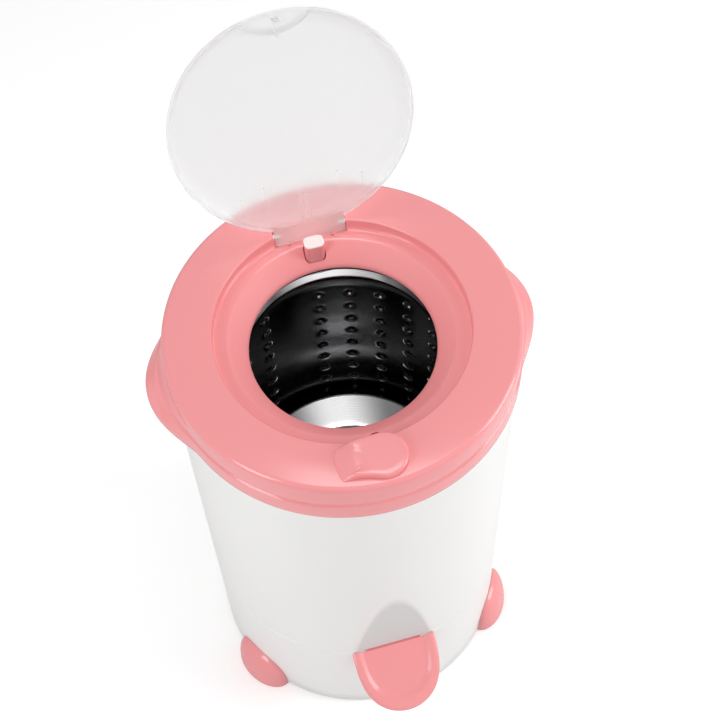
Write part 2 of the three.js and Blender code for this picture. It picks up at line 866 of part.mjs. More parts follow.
function lockSlide() {
  const slotHalf = crankPinRadius + runningGap;
  const pinLow = leverY + crankReach * Math.sin(radians(crankAngle));
  const [slotLow, slotHigh] = [pinLow - slotHalf, leverY + crankReach + slotHalf];
  const [left, right] = [crankPinX - slotHalf - 2.5, crankPinX + slotHalf + 2.5];
  const noseTip = hookWidth / 4 - gap - slideTravel;
  const noseRoot = noseTip - 11;
  const shoulder = hookY - 5;
  const [noseFront, noseBack] = [hookY - 12, hookY + 2];
  const outline = outlineOf([
    [left, slotLow - 1.2],
    [right, slotLow - 1.2],
    [right, shoulder],
    [noseTip, shoulder],
    [noseTip, noseBack],
    [noseRoot, noseBack],
    [noseRoot, noseFront],
    [left, noseFront],
  ]);
  const [low, high] = [below(slideDepth), below(slideDepth - slideThickness)];
  const slot = block([crankPinX - slotHalf, crankPinX + slotHalf], [slotLow, slotHigh], [
    low - 1,
    high + 1,
  ]);
  return cut(plate(outline, low, high), slot);
}

const trayWall = 2;
const trayFloor = 30.5;

// Open box under the cover that carries the slide on two rails.
function lockHousing() {
  const [left, right] = [-32, 22];
  const [front, back] = [leverY - 10, hookY + 3.1];
  const ledgeSide = -(recessRadius + coverWall + 2);
  const inside = block(
    [left + trayWall, right - trayWall],
    [front + trayWall, back + 1],
    [below(trayFloor - trayWall), coverTop],
  );
  const underLedge = block(
    [left - 1, right + 1],
    [ledgeSide, back + 1],
    [below(slideDepth - slideThickness), coverTop],
  );
  const box = block([left, right], [front, back], [
    below(trayFloor),
    below(plateThickness + gap),
  ]);
  const railTop = below(slideDepth + gap);
  const noseRail = block([left + 1, -hookWidth], [hookY - 1.5, hookY + 1.5], [
    below(trayFloor - 1),
    railTop,
  ]);
  const middleRail = block([left + 1, right - 1], [leverY + 16.2, leverY + 18.5], [
    below(trayFloor - 1),
    railTop,
  ]);
  return join(cut(box, inside, underLedge), noseRail, middleRail);
}

// ---------------------------------------------------------------- interlock button

function roundedBlock(halfX, halfY, corner, low, high) {
  const outline = new THREE.Shape();
  outline.absarc(halfX - corner, halfY - corner, corner, 0, Math.PI / 2);
  outline.absarc(corner - halfX, halfY - corner, corner, Math.PI / 2, Math.PI);
  outline.absarc(corner - halfX, corner - halfY, corner, Math.PI, 1.5 * Math.PI);
  outline.absarc(halfX - corner, corner - halfY, corner, 1.5 * Math.PI, 2 * Math.PI);
  outline.closePath();
  return plate(outline, low, high, 4).translate(0, buttonY, 0);
}

const interlockButton = () =>
  roundedBlock(
    buttonWidth / 2,
    buttonDepth / 2,
    5,
    below(buttonStem),
    below(buttonTop + buttonCapHeight + gap),
  );

const buttonCap = () =>
  roundedBlock(
    buttonWidth / 2,
    buttonDepth / 2,
    5,
    below(buttonTop + buttonCapHeight),
    below(buttonTop),
  );

const bracketThickness = 2;

// Return spring of the button, drawn as the plain sleeve that its coils fill.
const buttonSpring = () =>
  tube(
    2.6,
    3.8,
    below(bracketDepth - bracketThickness - gap),
    below(buttonStem + gap),
    smallFaces,
  ).translate(0, buttonY, 0);

function switchBracket() {
  const half = 16;
  const [front, back] = [sealTopRadius + sealSpread + gap, recessRadius - 1];
  const underLedge = below(pocketDepth + coverWall + gap);
  const shelf = block([-half, half], [front, back], [
    below(bracketDepth),
    below(bracketDepth - bracketThickness),
  ]);
  const backWall = block([-half, half], [back - bracketThickness, back], [
    below(bracketDepth),
    underLedge,
  ]);
  return join(shelf, backWall);
}

const microswitch = () =>
  block([6.5, 13], [buttonY - 8, buttonY + 12], [
    below(bracketDepth - bracketThickness - gap),
    below(bracketDepth - bracketThickness - gap - 6),
  ]);

// ---------------------------------------------------------------- drum

function drum() {
  const inner = drumRadius - drumWall;
  const lip = below(drumLipDepth);
  const hubHole = shaftRadius + 3;
  const line = [
    [hubHole, drumFloor + drumDome],
    [34, drumFloor + drumDome - 1.5],
    [72, drumFloor + drumDome * 0.55],
    [112, drumFloor],
    ...arc(inner - 10, drumFloor + 10, 10, -70, 0, 2),
    [inner, lip - 15],
    ...arc(inner - 10, lip - 12, 10, 15, 65, 2),
    [drumLipRadius + 4, lip],
    [drumLipRadius, lip - 1.4],
  ];
  return turned(sheet(line, drumWall), 36);
}

function drumHub() {
  const top = drumFloor + drumDome - drumWall - gap - 1.4;
  const bore = shaftRadius + gap;
  return turned(
    [
      [bore, tubFloor + hubClearance],
      [hubNeckRadius, tubFloor + hubClearance],
      [hubNeckRadius * 1.1, drumFloor - hubNeckRadius / 5],
      [hubRadius, drumFloor + hubNeckRadius / 5],
      [hubRadius, top - 1.5],
      [bore, top - 1.5],
    ],
    innerFaces,
  );
}

const drumShaft = () => rod(shaftRadius, motorBottom + motorWall + gap, drumFloor + drumDome + 4);

const hubNut = () =>
  turned(
    [
      [shaftRadius + gap, drumFloor + drumDome + gap],
      [22, drumFloor + drumDome + gap],
      [20, drumFloor + drumDome + 6],
      [9, drumFloor + drumDome + 11],
      [0, drumFloor + drumDome + 12],
      [0, drumFloor + drumDome + 4 + gap],
      [shaftRadius + gap, drumFloor + drumDome + 4 + gap],
    ],
    smallFaces,
  );

// ---------------------------------------------------------------- tub and drain

const sealRadius = 19;

function tub() {
  const inner = tubRadius - tubWall;
  const line = [
    [sealRadius + gap, tubFloor + tubWall],
    [inner - 14, tubFloor + tubWall],
    ...arc(inner - 12, tubFloor + tubWall + 12, 12, -70, 0, 2),
    [inner, below(tubTopDepth)],
  ];
  const bowl = turned(sheet(line, tubWall), innerFaces);
  return cut(
    bowl,
    rod(drainRadius + gap, tubFloor - 1, tubFloor + tubWall + 1, drainX, drainY),
  );
}

// Ring on the tub that leads spray back down, with an upturned neck for the seal.
function tubRing() {
  const low = below(tubTopDepth) + gap;
  return turned([
    [sealTopRadius + sealSpread - 3.5, low],
    [tubRadius + 3, low],
    [tubRadius + 3, low + 3],
    [sealTopRadius + sealSpread - 3.5, low + 3],
  ], innerFaces);
}

function mouthSeal() {
  const top = below(collarDepth) - gap;
  const low = below(tubTopDepth) + gap + 3 + gap;
  return turned([
    [sealTopRadius - 3, top],
    [sealTopRadius, top],
    [sealTopRadius + 0.3, top - 6.6],
    [sealTopRadius + sealSpread, low + 2.5],
    [sealTopRadius + sealSpread, low],
    [sealTopRadius + sealSpread - 3.2, low],
    [sealTopRadius - 2.6, top - 7.4],
  ], innerFaces);
}

// Pipe that hangs from the hole in the tub's floor, by a collar, down to the spout's duct.
function drainPipe() {
  const top = tubFloor + tubWall;
  const pipe = tube(drainRadius - drainWall, drainRadius, inletTop - inletWall, top, smallFaces);
  const collar = tube(drainRadius - 1, drainRadius + 3, tubFloor - gap - 3, tubFloor - gap, smallFaces);
  return join(pipe, collar).translate(drainX, drainY, 0);
}

const pipeSeal = () =>
  tube(drainRadius + gap, drainRadius + 4, inletTop + gap, inletTop + gap + 4, smallFaces).translate(
    drainX,
    drainY,
    0,
  );

// ---------------------------------------------------------------- motor and suspension

const motorTop = motorBottom + motorHeight;

function motorHousing() {
  const seat = bearingRadius + gap;
  return turned(
    [
      [0, motorBottom],
      [motorRadius - 6, motorBottom],
      [motorRadius, motorBottom + 6],
      [motorRadius, motorTop],
      [motorRadius - motorWall, motorTop],
      [motorRadius - motorWall, motorBottom + 8],
      [motorRadius - motorWall - 4, motorBottom + motorWall + 2],
      [seat + motorWall, motorBottom + motorWall + 2],
      [seat + motorWall, motorBottom + motorWall + bearingHeight],
      [seat, motorBottom + motorWall + bearingHeight],
      [seat, motorBottom + motorWall],
      [0, motorBottom + motorWall],
    ],
    innerFaces,
  );
}

const hangerAngles = [0, 90, 180];

function motorCap() {
  const low = motorTop + gap;
  const high = low + capThickness;
  const seat = bearingRadius + gap;
  const disc = turned(
    [
      [shaftRadius + 1.5, high - 2],
      [seat, high - 2],
      [seat, low],
      [motorRadius, low],
      [motorRadius, low + 5],
      [motorRadius - 10, high],
      [shaftRadius + 1.5, high],
    ],
    innerFaces,
  );
  const hangers = hangerAngles.map((angle) =>
    rod(5, low + 2, plateHeight - gap, hangerCircle, 0, 12).rotateZ(radians(angle)),
  );
  return join(disc, ...hangers);
}

const bearing = (low) =>
  tube(shaftRadius + gap, bearingRadius, low, low + bearingHeight, smallFaces);

const lowerBearing = () => bearing(motorBottom + motorWall + gap);
const upperBearing = () => bearing(motorTop + gap + capThickness - 2 - gap - bearingHeight);

function stator() {
  const middle = motorBottom + motorHeight / 2;
  const inner = rotorRadius + airGap;
  const outer = motorRadius - motorWall - gap;
  const core = tube(inner, outer, middle - statorHeight / 2, middle + statorHeight / 2, innerFaces);
  const windings = tube(
    inner + 2,
    outer - 6,
    middle - statorHeight / 2 - 11,
    middle + statorHeight / 2 + 11,
    innerFaces,
  );
  return join(core, windings);
}

function rotor() {
  const middle = motorBottom + motorHeight / 2;
  const half = statorHeight / 2 + 2;
  return tube(shaftRadius + gap, rotorRadius, middle - half, middle + half, innerFaces);
}

const shaftSeal = () =>
  turned(
    [
      [shaftRadius + gap, tubFloor + 0.5],
      [sealRadius, tubFloor + 0.5],
      [sealRadius, tubFloor + tubWall],
      [sealRadius + 4, tubFloor + tubWall + gap],
      [sealRadius + 4, tubFloor + tubWall + 2.5],
      [shaftRadius + 3, tubFloor + tubWall + 4],
      [shaftRadius + gap, tubFloor + tubWall + 6],
    ],
    smallFaces,
  );

const brakePivotY = -(brakeDrumRadius + gap + brakePadThickness + gap + brakeArmThickness / 2);

// Three-armed steel plate under the tub, which stands on the rubber mounts.
function suspensionPlate() {
  const [low, high] = [plateHeight, plateHeight + plateSheet];
  const arms = postAngles.map((angle) =>
    join(
      block([0, postCircle], [-16, 16], [low, high]),
      rod(16, low, high, postCircle),
    ).rotateZ(radians(angle)),
  );
  const disc = rod(76, low, high, 0, 0, innerFaces);
  const pivot = rod(brakePivotRadius, brakeDrumFloor, high, brakeArmPivotX, brakePivotY, 12);
  const hole = rod(sealRadius - 4, low - 1, high + 1, 0, 0, innerFaces);
  return join(cut(join(disc, ...arms), hole), pivot);
}

function rubberMount() {
  const low = postTop + gap;
  const high = plateHeight - gap;
  const waist = (low + high) / 2;
  return turned(
    [
      [0, low],
      [mountRadius, low],
      [mountRadius, low + 5],
      [mountRadius - 3.5, waist],
      [mountRadius, high - 5],
      [mountRadius, high],
      [0, high],
    ],
    smallFaces,
  ).translate(postCircle, 0, 0);
}

// ---------------------------------------------------------------- brake

const brakeDrum = () =>
  tube(
    shaftRadius + gap,
    brakeDrumRadius,
    brakeDrumFloor,
    brakeDrumFloor + brakeDrumHeight,
    innerFaces,
  );

function brakePad() {
  const inner = brakeDrumRadius + gap;
  const [low, high] = [brakeDrumFloor + 1, brakeDrumFloor + 1 + brakeArmWidth];
  const ring = tube(inner, inner + brakePadThickness * 2, low, high, innerFaces);
  const front = brakePivotY + brakeArmThickness / 2 + gap;
  const half = brakeDrumRadius * 0.43;
  const window = block([-half, half], [front, 0], [low, high]);
  return common(ring, window);
}

function brakeArm() {
  const half = brakeArmThickness / 2;
  const [low, high] = [brakeDrumFloor + 1, brakeDrumFloor + 1 + brakeArmWidth];
  const bar = block([brakeArmPivotX, brakeArmEndX], [brakePivotY - half, brakePivotY + half], [
    low,
    high,
  ]);
  const eye = rod(brakeEyeRadius, low, high, brakeArmPivotX, brakePivotY);
  const hole = rod(brakePivotRadius + gap, low - 1, high + 1, brakeArmPivotX, brakePivotY, 12);
  return cut(join(bar, eye), hole);
}

// Outer sheath of the cable from the lock to the brake, held close to the tub; its bare wire,
// which is not drawn, would run on from the sheath's end to the arm.
function brakeCable() {
  const start = below(trayFloor + gap);
  const cableZ = brakeDrumFloor + 5;
  const [startX, startY] = [-20, leverY - 7];
  const points = [
    [startX, startY, start],
    [startX, startY - 1, start - 60],
    [startX, startY - 1.5, start - 160],
    [startX, startY - 1.5, start - 260],
    [startX + 2, startY - 1, start - 330],
    [startX + 10, startY + 8, cableZ + 8],
    [startX + 26, startY + 32, cableZ],
    [brakeArmEndX - 10, startY + 56, cableZ],
    [brakeArmEndX - 4, brakePivotY - 22, cableZ],
  ];
  const path = new THREE.CatmullRomCurve3(points.map((p) => new THREE.Vector3(...p)));
  const section = new THREE.Shape();
  section.absarc(0, 0, brakeCableRadius, 0, 2 * Math.PI);
  return new THREE.ExtrudeGeometry(section, {
    steps: 24,
    curveSegments: 3,
    extrudePath: path,
    bevelEnabled: false,
  });
}

// ---------------------------------------------------------------- electrics and fasteners

function capacitor() {
  const low = baseLift + panThickness + gap;
  return turned(
    [
      [0, low],
      [capacitorRadius, low],
      [capacitorRadius, low + capacitorHeight],
      [capacitorRadius - capacitorCrown, low + capacitorHeight + capacitorCrown],
      [capacitorStud, low + capacitorHeight + capacitorCrown],
      [capacitorStud, low + capacitorHeight + capacitorCrown + capacitorStud],
      [0, low + capacitorHeight + capacitorCrown + capacitorStud],
    ],
    smallFaces,
  ).translate(capacitorX, capacitorY, 0);
}

const glandAngle = 210;
const glandHeight = 62;

// Rubber inlet for the supply cord, through the wall of the base.
function cableGland() {
  const wallAt = casingRadius(glandHeight);
  const profile = [
    [0, -8],
    [7, -8],
    [7, 0.5],
    [12, 0.5],
    [12, 3],
    [8, 5],
    [6, 16],
    [0, 16],
  ];
  return turned(profile, smallFaces)
    .rotateX(Math.PI / 2)
    .translate(0, -wallAt, glandHeight)
    .rotateZ(radians(glandAngle));
}

const screwDepth = 70;
const screwAngles = [75, 105, 255, 285];

function casingScrew() {
  const face = casingRadius(below(screwDepth)) + gap;
  return turned(
    [
      [0, 0],
      [3.6, 0],
      [3.4, 1],
      [2, 2],
      [0, 2.2],
    ],
    12,
  )
    .rotateX(Math.PI / 2)
    .translate(0, -face, below(screwDepth));
}

// ---------------------------------------------------------------- assembly

const dryer = new THREE.Group();

function add(name, geometry, material, parent = dryer) {
  const mesh = new THREE.Mesh(geometry, material);
  mesh.name = name;
  parent.add(mesh);
  return mesh;
}

function drilledBase() {
  const gland = new THREE.CylinderGeometry(7 + gap, 7 + gap, 20, smallFaces)
    .translate(0, -casingRadius(glandHeight), 0)
    .translate(0, 0, glandHeight)
    .rotateZ(radians(glandAngle));
  return cut(baseShell(), gland, spoutWindow());
}

add('base_shell', drilledBase(), plastic(whiteColour));
add('base_pan', basePan(), plastic(0xd8d8d6));
add('body_shell', bodyShell(), plastic(whiteColour));
for (let i = 0; i < footCount; i++) {
  const mesh = add(`foot_${i + 1}`, foot(), plastic(pinkColour));
  mesh.rotation.z = ((2 * i + 1) * Math.PI) / footCount;
}
add('drain_spout', drainSpout(), plastic(pinkColour));

add('top_cover', topCover(), plastic(pinkColour));
const lidGroup = new THREE.Group();
lidGroup.position.set(0, hingeY, hingeZ);
lidGroup.rotation.x = -radians(lidOpenAngle);
dryer.add(lidGroup);
add('lid', lid(), frosted(), lidGroup);
add('hinge_pin_left', hingePin(-1), plastic(whiteColour));
add('hinge_pin_right', hingePin(1), plastic(whiteColour));

const leverGroup = new THREE.Group();
leverGroup.position.set(0, leverY, 0);
dryer.add(leverGroup);
add('latch_lever', latchLever(), plastic(pinkColour), leverGroup);
add('lever_shaft', leverShaft(), metal(steelColour), leverGroup);
add('lever_crank', leverCrank(), metal(steelColour), leverGroup);
add('lock_slide', lockSlide(), metal(steelColour));
add('lock_housing', lockHousing(), plastic(darkColour));

add('interlock_button', interlockButton(), plastic(pinkColour));
add('button_cap', buttonCap(), plastic(0xf8eae9));
add('button_spring', buttonSpring(), metal(steelColour));
add('switch_bracket', switchBracket(), metal(steelColour));
add('microswitch', microswitch(), plastic(darkColour));

add('drum', drum(), metal(0xc9cbcd, 0.15));
add('drum_hub', drumHub(), metal(0xa9abad, 0.5));
add('drum_shaft', drumShaft(), metal(steelColour));
add('hub_nut', hubNut(), metal(steelColour));
add('tub', tub(), plastic(0xdcdcd8));
add('tub_ring', tubRing(), plastic(0xdcdcd8));
add('mouth_seal', mouthSeal(), plastic(darkColour, 0.8));
add('drain_pipe', drainPipe(), plastic(0xdcdcd8));
add('pipe_seal', pipeSeal(), plastic(darkColour, 0.8));

add('motor_housing', motorHousing(), metal(0x8f9194, 0.5));
add('motor_cap', motorCap(), metal(0x9a9c9f, 0.5));
add('lower_bearing', lowerBearing(), metal(steelColour));
add('upper_bearing', upperBearing(), metal(steelColour));
add('stator', stator(), metal(0x6b4a32, 0.6));
add('rotor', rotor(), metal(0x7c7e80, 0.5));
add('shaft_seal', shaftSeal(), plastic(darkColour, 0.8));
add('suspension_plate', suspensionPlate(), metal(steelColour));
postAngles.forEach((angle, i) => {
  const mesh = add(`rubber_mount_${i + 1}`, rubberMount(), plastic(darkColour, 0.8));
  mesh.rotation.z = radians(angle);
});

add('brake_drum', brakeDrum(), metal(0x8f9194, 0.5));
add('brake_arm', brakeArm(), metal(steelColour));
add('brake_pad', brakePad(), plastic(0x5a4638, 0.9));
add('brake_cable', brakeCable(), plastic(darkColour, 0.6));
add('capacitor', capacitor(), plastic(0xd8d8d6));
add('cable_gland', cableGland(), plastic(darkColour, 0.8));
screwAngles.forEach((angle, i) => {
  const mesh = add(`casing_screw_${i + 1}`, casingScrew(), metal(0x4a4a4c, 0.4));
  mesh.rotation.z = radians(angle);
});

export default dryer;
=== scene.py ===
# A laundry spin dryer, dressed for a picture: a white casing on three pink feet with a drain spout
# in front, a pink ring cover with a frosted lid standing open, and the steel drum down inside.
import json
import math

import bmesh
import bpy
from mathutils import Matrix, Vector


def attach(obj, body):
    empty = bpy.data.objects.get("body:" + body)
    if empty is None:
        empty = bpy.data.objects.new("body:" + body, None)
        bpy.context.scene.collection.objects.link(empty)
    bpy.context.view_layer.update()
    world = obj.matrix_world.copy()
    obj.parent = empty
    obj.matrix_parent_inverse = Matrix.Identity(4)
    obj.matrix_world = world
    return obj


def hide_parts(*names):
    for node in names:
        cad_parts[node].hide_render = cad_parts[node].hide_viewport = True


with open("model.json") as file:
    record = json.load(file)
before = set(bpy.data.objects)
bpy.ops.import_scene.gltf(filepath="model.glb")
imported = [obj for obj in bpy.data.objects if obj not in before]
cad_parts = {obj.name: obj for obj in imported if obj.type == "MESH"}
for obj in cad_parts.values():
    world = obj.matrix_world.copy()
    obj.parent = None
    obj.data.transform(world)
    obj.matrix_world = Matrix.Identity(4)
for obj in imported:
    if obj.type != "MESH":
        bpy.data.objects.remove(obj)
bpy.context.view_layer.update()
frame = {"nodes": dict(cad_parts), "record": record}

# ---------------------------------------------------------------- camera
# A studio camera above and a little to the left of the machine, looking down into the drum.

camera = bpy.data.objects.new("camera", bpy.data.cameras.new("camera"))
camera.location = (-0.16703, -0.77396, 1.86180)
camera.rotation_euler = (math.radians(30.7096), math.radians(1.4798), math.radians(-15.7981))
camera.data.sensor_width = 36
camera.data.lens = 78.92
bpy.context.scene.collection.objects.link(camera)
bpy.context.scene.camera = camera
bpy.context.scene.view_settings.view_transform = "Standard"

# ---------------------------------------------------------------- studio
# Two tall soft boxes at the sides, one over the top, and a white sweep that glossy and clear
# surfaces see as plain white. The floor is matt white board and keeps the machine's shadow.

def add_node(tree, kind, inputs=None, **settings):
    """A new shader node. An input is linked if it is given a socket, and set if given a value."""
    node = tree.nodes.new("ShaderNode" + kind)
    for name, value in settings.items():
        setattr(node, name, value)
    for key, value in (inputs or {}).items():
        if isinstance(value, bpy.types.NodeSocket):
            tree.links.new(value, node.inputs[key])
        else:
            node.inputs[key].default_value = value
    return node


def rays_of(tree, *kinds):
    """1 for rays of any of these kinds and 0 for all others."""
    rays = add_node(tree, "LightPath")
    found = rays.outputs[kinds[0]]
    for kind in kinds[1:]:
        both = add_node(tree, "Math", {0: found, 1: rays.outputs[kind]}, operation="MAXIMUM")
        found = both.outputs[0]
    return found


world = bpy.data.worlds.new("studio")
bpy.context.scene.world = world
world.use_nodes = True
tree = world.node_tree
tree.nodes.clear()
white_rays = rays_of(tree, "Is Camera Ray", "Is Transmission Ray", "Is Glossy Ray")
room = add_node(tree, "Background", {"Color": (1, 1, 1, 1), "Strength": 0.5})
seen = add_node(tree, "Background", {"Color": (1, 1, 1, 1), "Strength": 1.0})
chosen = add_node(tree, "MixShader", {"Fac": white_rays, 1: room.outputs[0], 2: seen.outputs[0]})
add_node(tree, "OutputWorld", {"Surface": chosen.outputs[0]})


def soft_box(name, width, height, power, place, aim):
    """A rectangular lamp at a place, facing a point of the machine."""
    lamp = bpy.data.lights.new(name, "AREA")
    lamp.shape = "RECTANGLE"
    lamp.size, lamp.size_y = width, height
    lamp.energy = power
    box = bpy.data.objects.new(name, lamp)
    box.location = place
    box.rotation_euler = (Vector(aim) - Vector(place)).to_track_quat("-Z", "Y").to_euler()
    bpy.context.scene.collection.objects.link(box)


soft_box("right_box", 1.0, 1.6, 27, (1.9, -0.7, 1.1), (0, 0, 0.3))
soft_box("left_box", 0.7, 1.5, 18, (-1.7, -1.0, 1.3), (0, 0, 0.3))
soft_box("top_box", 0.7, 0.7, 7, (0.15, 0.25, 2.4), (0, 0, 0.5))

floor_mesh = bpy.data.meshes.new("floor")
FLOOR_HALF = 8
floor_corners = [(x * FLOOR_HALF, y * FLOOR_HALF, 0)
                 for x, y in ((-1, -1), (1, -1), (1, 1), (-1, 1))]
floor_mesh.from_pydata(floor_corners, [], [(0, 1, 2, 3)])
floor = bpy.data.objects.new("floor", floor_mesh)
bpy.context.scene.collection.objects.link(floor)
board = bpy.data.materials.new("white_board")
board.use_nodes = True
tree = board.node_tree
tree.nodes.clear()
matt = add_node(tree, "BsdfDiffuse", {"Color": (0.82, 0.82, 0.82, 1)})
lift = add_node(tree, "Math", {0: rays_of(tree, "Is Camera Ray", "Is Transmission Ray"), 1: 0.335},
                operation="MULTIPLY")
glow = add_node(tree, "Emission", {"Color": (1, 1, 1, 1), "Strength": lift.outputs[0]})
both = add_node(tree, "AddShader", {0: matt.outputs[0], 1: glow.outputs[0]})
add_node(tree, "OutputMaterial", {"Surface": both.outputs[0]})
floor_mesh.materials.append(board)

# ---------------------------------------------------------------- body casing
# The upper casing is one moulded, slightly tapered shell of white plastic. A slanted face is cut
# into its front above the drain spout, and its lower edge stands on the base at a fine seam.

BASE_LIFT = 0.004
SEAM = 0.169
COVER_TOP = 0.594
CASING_FOOT = 0.1666
TAPER = 0.0040
EDGE = 0.0009
FIT = 0.0003
CASING_WALL = 0.0026
FACET_TOP = 0.317
FACET_DEPTH = 0.0065
FACET_SPREAD = math.radians(40)
FLAT_LOW = 0.140
FLAT_END = 0.105
ROUND_STEPS = 720


def principled(name, inputs):
    """A new material, its node tree and its Principled shader."""
    material = bpy.data.materials.new(name)
    material.use_nodes = True
    shader = material.node_tree.nodes["Principled BSDF"]
    for key, value in inputs.items():
        shader.inputs[key].default_value = value
    return material, material.node_tree, shader


def object_noise(tree, scale, detail=None):
    """Cloudy noise that stays put on the piece."""
    place = add_node(tree, "TexCoord").outputs["Object"]
    inputs = {"Vector": place, "Scale": scale}
    if detail is not None:
        inputs["Detail"] = detail
    return add_node(tree, "TexNoise", inputs).outputs["Fac"]


def varied(tree, source, low, high):
    """A value between low and high, as source goes from 0 to 1."""
    spread = add_node(tree, "MapRange", {"Value": source, "To Min": low, "To Max": high})
    return spread.outputs["Result"]


def toned(tree, shader, colour, tone):
    """Gives a shader a colour that is made darker or lighter by a factor."""
    tint = add_node(tree, "VectorMath", {0: colour, "Scale": tone}, operation="SCALE")
    tree.links.new(tint.outputs[0], shader.inputs["Base Color"])


def roughened(tree, shader, source, low, high):
    tree.links.new(varied(tree, source, low, high), shader.inputs["Roughness"])


def bumped(tree, shader, height, strength, distance):
    bump = add_node(tree, "Bump", {"Strength": strength, "Distance": distance, "Height": height})
    tree.links.new(bump.outputs["Normal"], shader.inputs["Normal"])


def moulded_plastic(name, colour, roughness, mottle=0.03, grain=0.00012, specular=0.5):
    """Injection-moulded plastic: a faint change of tone, fine orange peel and patchy gloss."""
    material, tree, shader = principled(name, {"Specular IOR Level": specular})
    clouds = object_noise(tree, 9, 3)
    toned(tree, shader, colour, varied(tree, clouds, 1 - mottle, 1 + mottle))
    roughened(tree, shader, clouds, roughness * 0.85, roughness * 1.15)
    bumped(tree, shader, object_noise(tree, 420, 2), 0.25, grain)
    return material


def new_piece(name, points, faces, material, body, sharp=35):
    """A smooth-shaded mesh, welded and turned outwards, riding on a body of the machine."""
    mesh = bpy.data.meshes.new(name)
    mesh.from_pydata(points, [], faces)
    work = bmesh.new()
    work.from_mesh(mesh)
    bmesh.ops.remove_doubles(work, verts=work.verts, dist=1e-6)
    bmesh.ops.recalc_face_normals(work, faces=work.faces)
    work.to_mesh(mesh)
    work.free()
    mesh.materials.append(material)
    piece = bpy.data.objects.new(name, mesh)
    bpy.context.scene.collection.objects.link(piece)
    smooth(mesh, sharp)
    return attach(piece, body)


def smooth(mesh, sharp=35):
    mesh.shade_smooth()
    mesh.set_sharp_from_angle(angle=math.radians(sharp))


def swept_ring(section, steps):
    """Points and faces of a closed outline [(radius, z), ...] carried round the drum's axis."""
    points, faces = [], []
    for i in range(steps):
        angle = 2 * math.pi * i / steps
        outline = section(angle)
        points += [(r * math.sin(angle), -r * math.cos(angle), z) for r, z in outline]
    count = len(outline)
    for i in range(steps):
        here, there = i * count, (i + 1) % steps * count
        for j in range(count):
            k = (j + 1) % count
            faces.append((here + j, there + j, there + k, here + k))
    return points, faces


def casing_radius(z):
    """Radius of the casing's round form at a height."""
    return CASING_FOOT + TAPER * (z - BASE_LIFT) / (COVER_TOP - BASE_LIFT)


FLAT = casing_radius(SEAM) - FACET_DEPTH


def casing_outside(angle, z, inset=0.0, softness=0.0005):
    """Radius of the casing at an angle from the front, with the slanted face over the spout."""
    round_wall = casing_radius(z) - inset
    away = min(angle, 2 * math.pi - angle)
    if away > FACET_SPREAD or z < FLAT_END:
        return round_wall
    if z > SEAM:
        slant = FLAT + (casing_radius(FACET_TOP) - FLAT) * (z - SEAM) / (FACET_TOP - SEAM)
    else:
        run_out = max(0.0, (FLAT_LOW - z) / (FLAT_LOW - FLAT_END))
        slant = FLAT + (casing_radius(FLAT_END) + 0.001 - FLAT) * run_out
    flat = (slant - inset) / math.cos(away)
    near = min(round_wall, flat)
    blend = math.exp((near - round_wall) / softness) + math.exp((near - flat) / softness)
    return near - softness * math.log(blend)


WHITE = (0.86, 0.855, 0.845)
white_plastic = moulded_plastic("white_casing_plastic", WHITE, 0.34, 0.012)
# The same white plastic, but carrying painted shade on the slanted face over the spout.
body_plastic = moulded_plastic("white_casing_painted_shade_face", WHITE, 0.34, 0.012)


def paint_shade_on_slanted_face(material, grey, roughness):
    """Painted shade: a greyer colour, with a rougher finish, wherever the wall lies inside its
    round form.
    """
    tree = material.node_tree
    shader = tree.nodes["Principled BSDF"]

    def figure(operation, *values):
        return add_node(tree, "Math", dict(enumerate(values)), operation=operation).outputs[0]

    place = add_node(tree, "TexCoord").outputs["Object"]
    parts = add_node(tree, "SeparateXYZ", {0: place}).outputs
    distance = figure("SQRT", figure("ADD", figure("MULTIPLY", parts["X"], parts["X"]),
                                     figure("MULTIPLY", parts["Y"], parts["Y"])))
    form = figure("MULTIPLY_ADD", parts["Z"], TAPER / (COVER_TOP - BASE_LIFT), casing_radius(0.0))
    depth = add_node(tree, "MapRange", {"From Min": 0.0004, "From Max": 0.0011,
                                        "Value": figure("SUBTRACT", form, distance)})
    for socket, value in (("Base Color", grey), ("Roughness", roughness)):
        usual = shader.inputs[socket].links[0].from_socket
        mix = add_node(tree, "Mix", data_type="RGBA" if socket == "Base Color" else "FLOAT")
        ends = [i for i in mix.inputs if i.enabled]
        tree.links.new(depth.outputs["Result"], ends[0])
        tree.links.new(usual, ends[1])
        ends[2].default_value = value
        tree.links.new([o for o in mix.outputs if o.enabled][0], shader.inputs[socket])


# Painted shade: the slanted face is coloured grey, darker than the rest of the casing.
paint_shade_on_slanted_face(body_plastic, (0.66, 0.665, 0.66, 1), 0.6)


def body_section(angle):
    low, top = SEAM + FIT, COVER_TOP - 0.0323
    heights = [low + EDGE + (FACET_TOP + 0.03 - low) * i / 72 for i in range(73)]
    heights += [0.38, 0.43, 0.48, 0.53]
    outside = [(casing_outside(angle, low, EDGE), low)]
    outside += [(casing_outside(angle, z), z) for z in heights]
    outside += [(casing_outside(angle, top, 0.0002), top - 0.0006),
                (casing_outside(angle, top, 0.0008), top)]
    inside = (top, 0.45, 0.32, 0.28, 0.24, 0.2, low)
    return outside + [(casing_outside(angle, z, CASING_WALL), z) for z in inside]


body_casing = new_piece("body_casing", *swept_ring(body_section, ROUND_STEPS), body_plastic,
                        "casing")
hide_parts("body_shell")

# ---------------------------------------------------------------- base casing
# The lower casing is a second white moulding, screwed up into the body, with an inward flange
# round its lower edge and a notch in its upper edge for the drain spout's duct.

FLANGE_INNER = 0.1496
TONGUE_TOP = 0.1768
TONGUE_LOW = 0.161
DUCT_HALF = 0.0317
DUCT_TOP = SEAM - FIT
DUCT_LOW = DUCT_TOP - 0.0092
SLIT_HALF = 0.0462


